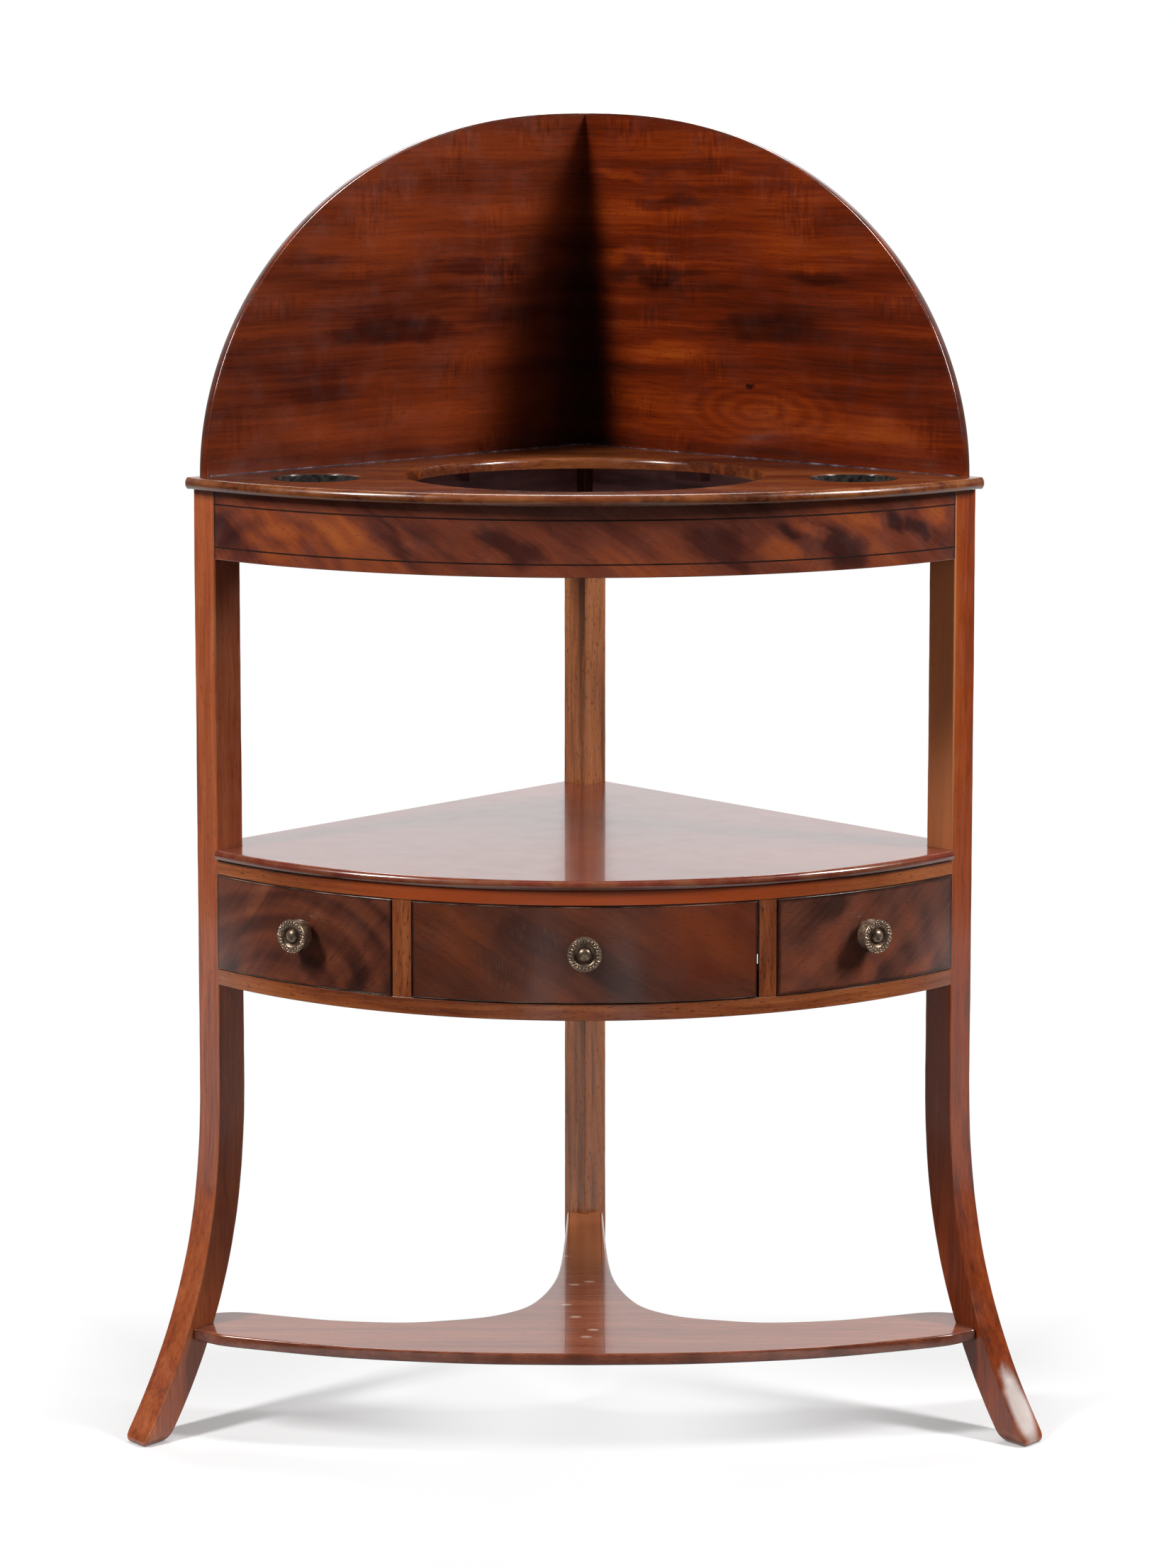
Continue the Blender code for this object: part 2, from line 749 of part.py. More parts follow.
def make_cross_rail():
    """The rail behind the drawer that carries the runners' back ends."""
    front_y = cross_rail_y - cross_rail_width / 2
    back_y = cross_rail_y + cross_rail_width / 2
    clear = (board_inner_face + gap) * math.sqrt(2)
    front_x = corner_y - front_y - clear
    back_x = corner_y - back_y - clear
    outline = [(-front_x, front_y), (front_x, front_y), (back_x, back_y), (-back_x, back_y)]
    rail = level_slab("runner_cross_rail", outline, lower_rail_base, lower_rail_top, stand)
    finish(rail, "pine")


def make_stops():
    """Two small blocks on the lower rail that stop the closed drawer."""
    low = lower_rail_top + gap
    radius = bow_radius - front_thickness - gap
    for side in (-1, 1):
        angle = math.asin(side * stop_place_share * drawer_half_width / radius)
        seat = math.sqrt(radius ** 2 - (stop_length / 2) ** 2)
        x, y = bow_point(seat - stop_depth / 2, angle)
        size = (stop_length, stop_depth, stop_height)
        location = (x, y, low + stop_height / 2)
        finish(block(side_name(side, "drawer_stop"), size, location, angle, stand), "pine")


def knob_profile():
    """A knob's turned outline, from the middle of its dished face down to its post."""
    face = knob_projection
    rim_back = face - knob_rim_thickness
    dish = face - knob_dish_depth
    neck_top = knob_flange_thickness + knob_neck_length
    boss_edge = knob_boss_radius
    post_end = -front_thickness - 2 * gap - knob_nut_thickness - knob_post_end
    rim_round = knob_rim_thickness / 2
    rim = [
        (knob_radius - rim_round + rim_round * math.sin(angle),
         face - rim_round + rim_round * math.cos(angle))
        for angle in spread(0, math.pi, round_steps)
    ]
    return [
        (0, face), (boss_edge / 2, face - knob_boss_crown), (boss_edge, dish),
        ((boss_edge + knob_dish_radius) / 2, dish), (knob_dish_radius, face),
        *rim,
        (knob_dish_radius, rim_back - knob_back_slope), (knob_neck_radius, neck_top),
        (knob_neck_radius, knob_neck_base),
        (knob_flange_radius, knob_flange_thickness), (knob_flange_radius, 0),
        (knob_post_radius, 0), (knob_post_radius, post_end), (0, post_end),
    ]


def make_knob(name, angle, front, carrier):
    """A brass knob on the bow, its post through the front, and its nut behind."""
    x, y = bow_point(bow_radius + gap, angle)
    location = (x, y, knob_height)
    rotation = (quarter_turn, 0, angle)
    knob = turned(name, knob_profile(), knob_steps, location, rotation, carrier)
    finish(knob, "brass")
    bore = knob_post_radius + gap
    hole = [(0, cut_overrun), (bore, cut_overrun)]
    hole += [(bore, -front_thickness - cut_overrun), (0, -front_thickness - cut_overrun)]
    boolean(front, turned(name + "_hole", hole, knob_steps, location, rotation), "DIFFERENCE")
    top = -front_thickness - 2 * gap
    bottom = top - knob_nut_thickness
    ring = [
        (bore, top), (knob_nut_radius, top), (knob_nut_radius, bottom), (bore, bottom)]
    nut = turned(name + "_nut", ring, knob_steps, location, rotation, carrier, True)
    finish(nut, "brass")


def side_shoulder():
    """How far forward a drawer side's shoulder lies, where the front's back is flattened."""
    return -bow_y(bow_radius - front_thickness, drawer_side_inner_x)


def tail_points(shoulder, clearance):
    """The dovetails' outline up the end of a drawer side, from the lowest one."""
    pitch = (drawer_side_top - drawer_side_bottom) / tail_count
    points = []
    for number in range(tail_count):
        middle = drawer_side_bottom + pitch * (number + 1 / 2)
        narrow = tail_narrow_half + clearance
        wide = tail_wide_half + clearance
        tip = shoulder + tail_length + clearance
        points += [(shoulder, middle - narrow), (tip, middle - wide)]
        points += [(tip, middle + wide), (shoulder, middle + narrow)]
    return points


def make_drawer_side(side, front):
    """A drawer side with lapped dovetails at the front and grooves inside."""
    shoulder = side_shoulder() - gap
    outline = [(-drawer_side_back_y, drawer_side_bottom), (shoulder, drawer_side_bottom)]
    outline += tail_points(shoulder, 0.0)
    outline += [(shoulder, drawer_side_top), (-drawer_side_back_y, drawer_side_top)]
    rotation = (quarter_turn, 0, -quarter_turn)
    middle_x = side * (drawer_side_inner_x + drawer_side_outer_x) / 2
    thickness = drawer_side_thickness
    name = "drawer_" + side_name(side, "side")
    board = slab(name, outline, thickness, (middle_x, 0, 0), rotation, drawer_slide)

    inner_x = drawer_side_inner_x - gap
    outer_x = drawer_half_width + cut_overrun
    shoulder = side_shoulder()
    back = shoulder - cut_overrun
    low = drawer_front_bottom - cut_overrun
    high = drawer_front_top + cut_overrun
    outline = [(back, low), (shoulder, low), *tail_points(shoulder, gap)]
    outline += [(shoulder, high), (back, high)]
    middle = (side * (inner_x + outer_x) / 2, 0, 0)
    sockets = slab(name + "_sockets", outline, outer_x - inner_x, middle, rotation)
    boolean(front, sockets, "DIFFERENCE")

    housing_x = (drawer_side_inner_x - cut_overrun, drawer_side_inner_x + housing_depth)
    back_outer_y = drawer_side_back_y - drawer_back_inset
    back_y = (back_outer_y - drawer_back_thickness - gap, back_outer_y + gap)
    groove_y = (-side_shoulder(), drawer_side_back_y + cut_overrun)
    groove_z = (drawer_bottom_base - gap, drawer_bottom_top + gap)
    housing_z = (drawer_bottom_top, drawer_side_top + cut_overrun)
    for label, y, z in (("_groove", groove_y, groove_z), ("_housing", back_y, housing_z)):
        size = (housing_x[1] - housing_x[0], y[1] - y[0], z[1] - z[0])
        location = (side * sum(housing_x) / 2, sum(y) / 2, sum(z) / 2)
        boolean(board, block(name + label, size, location), "DIFFERENCE")
    finish(board, "pine")


def make_drawer():
    """The sliding drawer: front, sides, back, bottom and its knob."""
    half = drawer_half_width
    inner = bow_radius - front_thickness
    edges = (straight_edge(-half), straight_edge(half))
    outline = bow_outline(bow_radius, inner, *edges, short_bow_steps)
    front = level_slab(
        "drawer_front", outline, drawer_front_bottom, drawer_front_top, drawer_slide)
    make_knob("middle_knob", 0.0, front, drawer_slide)
    for side in (-1, 1):
        make_drawer_side(side, front)

    edges = (straight_edge(-drawer_side_inner_x), straight_edge(drawer_side_inner_x))
    groove = bow_outline(
        inner + front_groove_depth + gap, inner - cut_overrun, *edges, short_bow_steps)
    low = drawer_bottom_base - gap
    cutter = level_slab("front_groove", groove, low, drawer_bottom_top + gap)
    boolean(front, cutter, "DIFFERENCE")
    finish(front, "dark veneer")

    back_x = drawer_side_inner_x + housing_depth - gap
    back_outer_y = drawer_side_back_y - drawer_back_inset
    low = drawer_bottom_top + gap
    high = drawer_side_top - drawer_back_drop
    size = (2 * back_x, drawer_back_thickness, high - low)
    location = (0, back_outer_y - drawer_back_thickness / 2, (low + high) / 2)
    finish(block("drawer_back", size, location, 0.0, drawer_slide), "pine")

    inside = drawer_side_inner_x - gap
    notch_y = -side_shoulder() + gap
    tip = inner + front_groove_depth
    outline = [(x, bow_y(tip, x)) for x in spread(-inside, inside, short_bow_steps)]
    outline += [(inside, notch_y), (back_x, notch_y), (back_x, back_outer_y)]
    outline += [(-back_x, back_outer_y), (-back_x, notch_y), (-inside, notch_y)]
    bottom = level_slab(
        "drawer_bottom", outline, drawer_bottom_base, drawer_bottom_top, drawer_slide)
    finish(bottom, "pine")


def smooth_curve(points):
    """Points along a soft curve through a few given ones."""
    padded = [points[0], *points, points[-1]]
    curve = []
    for first, second, third, fourth in zip(padded, padded[1:], padded[2:], padded[3:]):
        for step in range(smooth_steps):
            part = step / smooth_steps
            weights = (
                -part / 2 + part ** 2 - part ** 3 / 2,
                1 - 5 * part ** 2 / 2 + 3 * part ** 3 / 2,
                part / 2 + 2 * part ** 2 - 3 * part ** 3 / 2,
                -part ** 2 / 2 + part ** 3 / 2,
            )
            given = (first, second, third, fourth)
            curve.append(tuple(
                sum(weight * point[axis] for weight, point in zip(weights, given))
                for axis in (0, 1)))
    return curve + [points[-1]]


def make_platform():
    """The three-armed board near the floor, tenoned into all three legs."""
    half = []
    middle = (platform_base + platform_surface) / 2
    reach = (bow_radius + splay(middle)) / math.sqrt(2)
    for shares in (platform_rear_shares, platform_front_shares):
        points = [(-reach * x, half_spacing * y) for x, y in shares]
        half += smooth_curve(points)
    other = [(-x, y) for x, y in reversed(half[:-1])]
    board = level_slab("platform", half + other, platform_base, platform_surface, stand)
    heights = (platform_base - cut_overrun, platform_surface + cut_overrun)
    around = (-cut_overrun, leg_side + gap)
    boolean(board, wall_board("back_leg_notch", -1, around, around, heights), "DIFFERENCE")
    for side in (-1, 1):
        notch = front_leg(side_name(side, "leg_notch"), side, gap)
        boolean(board, notch, "DIFFERENCE")
    size = (platform_tenon_width, platform_tenon_height)
    for side in (-1, 1):
        root = wall_point(side, bow_radius + splay(middle), leg_side / 2, middle)
        join_tenon(board, legs[side], root, wall_heading(side), *size)
    root = Vector((0, bow_centre_y, middle))
    join_tenon(board, back_leg, root, quarter_turn, *size)
    finish(board, "shelf")


clear_scene()
parts = new_collection("corner_washstand")
cutters = new_collection("cutters")
stand = new_empty("washstand_middle", (0, -plan_middle_y, 0))
drawer_slide = new_empty("drawer_slide", (0, 0, 0), stand)

legs = {side: front_leg(side_name(side, "front_leg"), side, 0.0, stand) for side in (-1, 1)}
back_leg = wall_board("back_leg", -1, (0, leg_side), (0, leg_side), (0, frame_top), stand)
for leg in legs.values():
    finish(leg, "leg")
finish(back_leg, "back leg")

make_frieze()
make_bow_rails()
for side in (-1, 1):
    make_wall_pieces(side)
    make_soap_cup(side)
    make_bay(side)
make_cross_rail()
make_stops()
make_drawer()
wall_cutters = make_wall_cutters()
make_splashboards(make_top(wall_cutters))
make_top_blocks()
make_shelf(wall_cutters)
make_platform()
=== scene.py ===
# %% [markdown]
# # A mahogany corner washstand
#
# A bow-fronted washstand that fits a room's corner: three square legs, a top board with a round basin
# hole and two soap cups, two arched splashboards, a veneered frieze, a middle shelf with a drawer
# between two dummy fronts, and a three-armed platform near the floor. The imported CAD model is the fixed
# frame. Each piece below is either one of its nodes with a proper finish, or a new surface that stands
# in a node's place with rounded edges, grain that follows the board, and wear.

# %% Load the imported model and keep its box
import functools
import math
import bpy
import bmesh
import numpy as np
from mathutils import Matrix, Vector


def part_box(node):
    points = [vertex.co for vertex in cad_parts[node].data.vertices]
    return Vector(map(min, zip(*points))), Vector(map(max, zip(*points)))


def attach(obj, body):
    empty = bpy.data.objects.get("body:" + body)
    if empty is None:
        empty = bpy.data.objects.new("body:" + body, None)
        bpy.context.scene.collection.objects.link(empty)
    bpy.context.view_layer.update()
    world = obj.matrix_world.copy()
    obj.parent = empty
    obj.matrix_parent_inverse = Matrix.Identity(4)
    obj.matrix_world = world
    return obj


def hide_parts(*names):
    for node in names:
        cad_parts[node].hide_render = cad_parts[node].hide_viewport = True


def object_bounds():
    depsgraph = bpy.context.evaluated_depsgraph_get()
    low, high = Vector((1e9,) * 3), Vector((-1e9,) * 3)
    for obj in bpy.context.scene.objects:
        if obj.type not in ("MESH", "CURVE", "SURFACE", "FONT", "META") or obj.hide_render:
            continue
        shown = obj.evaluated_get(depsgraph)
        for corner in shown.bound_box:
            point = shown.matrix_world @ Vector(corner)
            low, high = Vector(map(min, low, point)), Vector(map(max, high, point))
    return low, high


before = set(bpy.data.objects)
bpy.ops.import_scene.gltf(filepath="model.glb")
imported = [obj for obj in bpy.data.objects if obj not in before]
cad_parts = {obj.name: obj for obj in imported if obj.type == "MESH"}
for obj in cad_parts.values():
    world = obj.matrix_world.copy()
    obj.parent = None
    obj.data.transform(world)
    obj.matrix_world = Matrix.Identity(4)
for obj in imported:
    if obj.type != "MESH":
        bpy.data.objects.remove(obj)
cad_low, cad_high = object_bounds()
print("CAD box", [round(v, 4) for v in cad_low], [round(v, 4) for v in cad_high])

# %% [markdown]
# ## The camera
#
# The photograph is taken from the front, a little above the top board, with a long lens held level and
# shifted down. A real level camera with a large shift would push the object out of the other views, so
# this one is tipped down a little and keeps a smaller shift. The two agree to within 13 pixels.

# %% Place the camera
camera_data = bpy.data.cameras.new("photo_camera")
camera_data.lens = 85.61
camera_data.sensor_width = 36
camera_data.shift_y = -0.19
camera = bpy.data.objects.new("photo_camera", camera_data)
camera.location = (0.0027, -3.1000, 1.0779)
camera.rotation_euler = (math.radians(90 - 5.627), 0, 0)
bpy.context.scene.collection.objects.link(camera)
bpy.context.scene.camera = camera

# %% [markdown]
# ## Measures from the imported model
#
# The plan is a quarter circle. Its centre is the front corner of the back leg, and both walls meet
# behind that leg. So three boxes of the model give every length that the pieces below share, and a
# point is best named either by its distance along a wall and in from it, or by its angle on the bow.

# %% Read the shared lengths
root_two = math.sqrt(2)
back_leg_low, back_leg_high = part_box("back_leg")
leg_side = (back_leg_high.x - back_leg_low.x) / root_two
bow_centre_y = back_leg_low.y
corner_y = back_leg_high.y
frame_top = back_leg_high.z
bow_radius = bow_centre_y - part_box("bow_frieze")[0].y
quarter = math.pi / 4
# The clearance between two pieces that touch
gap = 0.0003
print("leg", round(leg_side, 4), "bow radius", round(bow_radius, 4), "frame top", round(frame_top, 4))


def wall_point(side, along, inward, height):
    """A point by its distance along a wall and in from it: x is their difference and y the corner's y
    less their sum, both over the root of two."""
    x = side * (along - inward) / root_two
    y = corner_y - (along + inward) / root_two
    return np.stack(np.broadcast_arrays(x, y, height), axis=-1)


def bow_point(radius, angle, height):
    """A point by its distance from the bow's centre and its angle from the middle of the front."""
    x = radius * np.sin(angle)
    y = bow_centre_y - radius * np.cos(angle)
    return np.stack(np.broadcast_arrays(x, y, height), axis=-1)


def levels(node):
    """The lowest and highest level of a CAD node."""
    low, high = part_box(node)
    return low.z, high.z


# %% [markdown]
# ## Grain
#
# Wood shows how it was cut, so each new piece carries its own grain map: for every point, how far it
# lies along the fibres, across them, and through the board, in metres. The finishes read this map
# instead of the world's axes, so that grain runs up a leg, along an arched board and round the bow. An
# offset for each piece makes sure that no two boards show the same pattern.

# %% Grain maps
def upright_grain(side):
    """Fibres run up: height, distance along the wall, distance in from it."""
    def grain(points):
        total = (corner_y - points[..., 1]) * root_two
        difference = side * points[..., 0] * root_two
        return np.stack((points[..., 2], (total + difference) / 2, (total - difference) / 2), axis=-1)
    return grain


def wall_grain(side):
    """Fibres run along the wall: distance along it, height, distance in from it."""
    def grain(points):
        upright = upright_grain(side)(points)
        return upright[..., [1, 0, 2]]
    return grain


def board_grain(points):
    """Fibres run from left to right: x, y and height."""
    return points.copy()


def bow_grain(points):
    """A sheet of veneer laid round the bow: arc length, height and depth behind the face."""
    x = points[..., 0]
    y = bow_centre_y - points[..., 1]
    return np.stack((np.arctan2(x, y) * bow_radius, points[..., 2], bow_radius - np.hypot(x, y)), axis=-1)


# %% [markdown]
# ## Skins
#
# Nearly every piece here is a stack of closed outlines: a leg is a rounded square carried up the leg, a
# rail is a rounded oblong carried round the bow, and a board is its outline carried through its
# thickness with the edge drawn in. One function turns such a stack into a closed mesh. Beside each
# rounded edge stands a second line of points very close to it, which keeps the flat faces flat when
# the mesh is shaded smooth.

# %% Turn a stack of outlines into a piece
pieces_made = {}
sharp_above = math.radians(38)


def enclosed(vertices, faces):
    """Six times the volume inside four-sided faces: the sum of each corner's triple product."""
    a, b, c, d = (vertices[faces[:, corner]] for corner in range(4))
    return np.sum(a * np.cross(b, c)) + np.sum(a * np.cross(c, d))


def stack_faces(count, across):
    """Quads between neighbouring outlines of a stack, each outline closed on itself."""
    row = np.arange(count - 1)[:, None] * across
    column = np.arange(across)[None, :]
    following = (column + 1) % across
    corners = (row + column, row + following, row + across + following, row + across + column)
    return np.stack(corners, axis=-1).reshape(-1, 4)


def finish_piece(name, mesh, grain, wear, material, slot, body="stand", offset=(0, 0, 0)):
    """Gives a mesh its grain and wear maps and its finish, and hangs it on a body of the frame. It
    stands in for the CAD node of the same name, where there is one."""
    flat = np.empty(len(mesh.vertices) * 3)
    mesh.vertices.foreach_get("co", flat)
    place = grain(flat.reshape(-1, 3)) + np.array(offset)
    mesh.attributes.new("grain", "FLOAT_VECTOR", "POINT").data.foreach_set("vector", place.ravel())
    mesh.attributes.new("wear", "FLOAT", "POINT").data.foreach_set("value", np.ravel(wear))
    mesh.shade_smooth()
    mesh.set_sharp_from_angle(angle=sharp_above)
    mesh.materials.append(material)
    piece = bpy.data.objects.new(name, mesh)
    bpy.context.scene.collection.objects.link(piece)
    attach(piece, body)
    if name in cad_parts:
        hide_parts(name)
    pieces_made[name] = len(mesh.vertices)


def stacked_piece(name, rings, grain, wear, material, slot, strip=False, **hung):
    """A closed piece from a stack of outlines, with a face across each end of the stack. With strip,
    each end is a row of quads between the outline's first half and its second half run backwards."""
    count, across = rings.shape[:2]
    vertices = rings.reshape(-1, 3)
    sides = stack_faces(count, across)
    last = np.arange(across)[None]
    if strip:
        step = np.arange(across // 2 - 1)
        last = np.stack((step, step + 1, across - 2 - step, across - 1 - step), axis=-1)
    first = last[:, ::-1]
    last = last + (count - 1) * across
    if enclosed(vertices - vertices.mean(axis=0), sides) < 0:
        sides, first, last = sides[:, ::-1], first[:, ::-1], last[:, ::-1]
    mesh = bpy.data.meshes.new(name)
    mesh.from_pydata(vertices, [], sides.tolist() + first.tolist() + last.tolist())
    finish_piece(name, mesh, grain, np.broadcast_to(wear, (count, across)), material, slot, **hung)


# %% [markdown]
# ## Edges
#
# No edge on an old piece is sharp. Corners of an outline become short arcs, and the edge of a board is
# drawn in along a quarter circle above and below, so light catches them as thin lines. The wear map is
# one on these arcs and nothing on the flats.

# %% Round corners and edges
arc_hold = 0.0004
edge_hold = 0.0006


def unit(vectors):
    """Vectors with their length taken out."""
    return vectors / np.linalg.norm(vectors, axis=-1, keepdims=True)


def corner_arcs(corners, before, after, radii, steps=3):
    """An arc at each corner, with a point just outside each end. The centre lies on the bisector at
    radius over the sine of half the corner's angle, and the arc ends at radius over its tangent."""
    radii = np.broadcast_to(radii, corners.shape[:-1])[..., None]
    half = np.arccos(np.clip(np.sum(before * after, axis=-1, keepdims=True), -1, 1)) / 2
    centre = corners + unit(before + after) * radii / np.sin(half)
    reach = radii / np.tan(half)
    first = corners + before * reach
    last = corners + after * reach
    sweep = (math.pi - 2 * half)[..., None, :]
    share = np.linspace(0, 1, steps + 1)[:, None]
    spoke_first = (first - centre)[..., None, :]
    spoke_last = (last - centre)[..., None, :]
    turned = spoke_first * np.sin((1 - share) * sweep) + spoke_last * np.sin(share * sweep)
    arc = centre[..., None, :] + turned / np.sin(sweep)
    lead = (first + before * arc_hold)[..., None, :]
    tail = (last + after * arc_hold)[..., None, :]
    return np.concatenate((lead, arc, tail), axis=-2)


def rounded_outline(corners, radii):
    """A closed outline with every corner an arc, and its wear."""
    corners = np.asarray(corners, float)
    before = unit(np.roll(corners, 1, axis=-2) - corners)
    after = unit(np.roll(corners, -1, axis=-2) - corners)
    arcs = corner_arcs(corners, before, after, radii)
    wear = np.ones(arcs.shape[-2])
    wear[[0, -1]] = 0
    return arcs.reshape(*corners.shape[:-2], -1, 2), np.tile(wear, corners.shape[-2])


def inward(outline):
    """The way into a closed outline at each of its points: its run turned by a quarter."""
    following = np.roll(outline, -1, axis=0)
    run = unit(following - np.roll(outline, 1, axis=0))
    area = np.sum(outline[:, 0] * following[:, 1] - outline[:, 1] * following[:, 0])
    return np.stack((-run[:, 1], run[:, 0]), axis=-1) * np.sign(area)


def edge_rings(outline, pull, low, high, steps):
    """Outlines up through a board with a rounded edge, and their wear. pull is the way in times the
    edge's radius. At turn t an outline is drawn in by pull times one less sine t, and stands above the
    lower face by the radius times one less cosine t. The upper half mirrors it."""
    turn = np.linspace(0, math.pi / 2, steps + 1)[:, None]
    depth = np.linalg.norm(pull, axis=-1)
    drawn = outline + pull * (1 - np.sin(turn))[..., None]
    flat = outline + pull * (1 + edge_hold / depth)[:, None]
    drawn = np.concatenate((flat[None], drawn))
    rise = np.concatenate((np.zeros((1, len(outline))), (1 - np.cos(turn)) * depth))
    lower = np.concatenate((drawn, (low + rise)[..., None]), axis=-1)
    upper = np.concatenate((drawn, (high - rise)[..., None]), axis=-1)[::-1]
    wear = np.ones((2 * steps + 4, len(outline)))
    wear[[0, -1]] = 0
    return np.concatenate((lower, upper)), wear


def wander(place, seed, finest=40.0):
    """A smooth uneven line between about -1 and 1: a sum of sines of rising pace and falling height."""
    pick = np.random.default_rng(seed)
    waves = 7
    pace = np.geomspace(finest / 30, finest, waves) * pick.uniform(0.8, 1.2, waves)
    start = pick.uniform(0, 2 * math.pi, waves)
    height = np.geomspace(1, 0.35, waves)
    swing = np.sin(np.multiply.outer(place, 2 * math.pi * pace) + start) * height
    return swing.sum(axis=-1) / height.sum() * 1.8


# %% [markdown]
# ## Finishes
#
# Everything seen is old Cuban mahogany under shellac polish, apart from ebony lines, dark turned cups
# and brass knobs. One function builds the polish from the grain map. Broad bands and streaks come from
# noise stretched along the fibres, ripple marks from noise stretched across them, and pores from fine
# noise cut off near its top. Their sum picks a tone from five, dark to light. Each board passes its own
# tones, paces and dark or glowing places, because each was cut from a different log.

# %% Colours and nodes
def colour(text):
    """An sRGB hex colour as linear values for Blender."""
    channels = np.array([int(text[place:place + 2], 16) for place in (1, 3, 5)]) / 255
    low = channels / 12.92
    high = ((channels + 0.055) / 1.055) ** 2.4
    return (*np.where(channels <= 0.04045, low, high), 1.0)


def add_node(tree, kind, inputs=(), stops=(), out=0, **settings):
    """Adds one node, sets it up, links or fills its inputs, and gives back the output asked for."""
    made = tree.nodes.new("ShaderNode" + kind)
    for key, value in settings.items():
        setattr(made, key, value)
    for key, value in dict(inputs).items():
        if isinstance(value, bpy.types.NodeSocket):
            tree.links.new(value, made.inputs[key])
        else:
            made.inputs[key].default_value = value
    for place, (position, tone) in enumerate(stops):
        if place > 1:
            made.color_ramp.elements.new(position)
        made.color_ramp.elements[place].position = position
        made.color_ramp.elements[place].color = colour(tone)
    return made.outputs if out is None else made.outputs[out]


def new_finish(name):
    """An empty material, and add_node bound to its tree."""
    material = bpy.data.materials.new(name)
    material.use_nodes = True
    material.node_tree.nodes.clear()
    return material, functools.partial(add_node, material.node_tree)


# %% Groups of nodes that several finishes share
any_depth = 1e6


def stretched_noise(add, place, pace, detail=1.0):
    """Noise whose blots are small where the pace is high: pace is per metre, along each axis."""
    stretched = add("Mapping", {"Vector": place, "Scale": pace})
    return add("TexNoise", {"Vector": stretched, "Scale": 1.0, "Detail": detail})


def stirred(add, place, scale, detail, reach):
    """Places shifted by a noise, by up to half of reach each way along each axis."""
    noise = add("TexNoise", {"Vector": place, "Scale": scale, "Detail": detail}, out="Color")
    noise = add("VectorMath", {0: noise, 1: (0.5, 0.5, 0.5)}, operation="SUBTRACT")
    return add("VectorMath", {0: noise, 1: reach, 2: place}, operation="MULTIPLY_ADD")


def how_far(add, place, middle, half_sizes, turn=0.0):
    """How far a place lies from a middle, counted in half sizes along axes slanted by turn."""
    apart = add("VectorMath", {0: place, 1: middle}, operation="SUBTRACT")
    if turn:
        apart = add("Mapping", {"Vector": apart, "Rotation": (0, 0, turn)})
    apart = add("VectorMath", {0: apart, 1: half_sizes}, operation="DIVIDE")
    return add("VectorMath", {0: apart}, operation="LENGTH", out="Value")


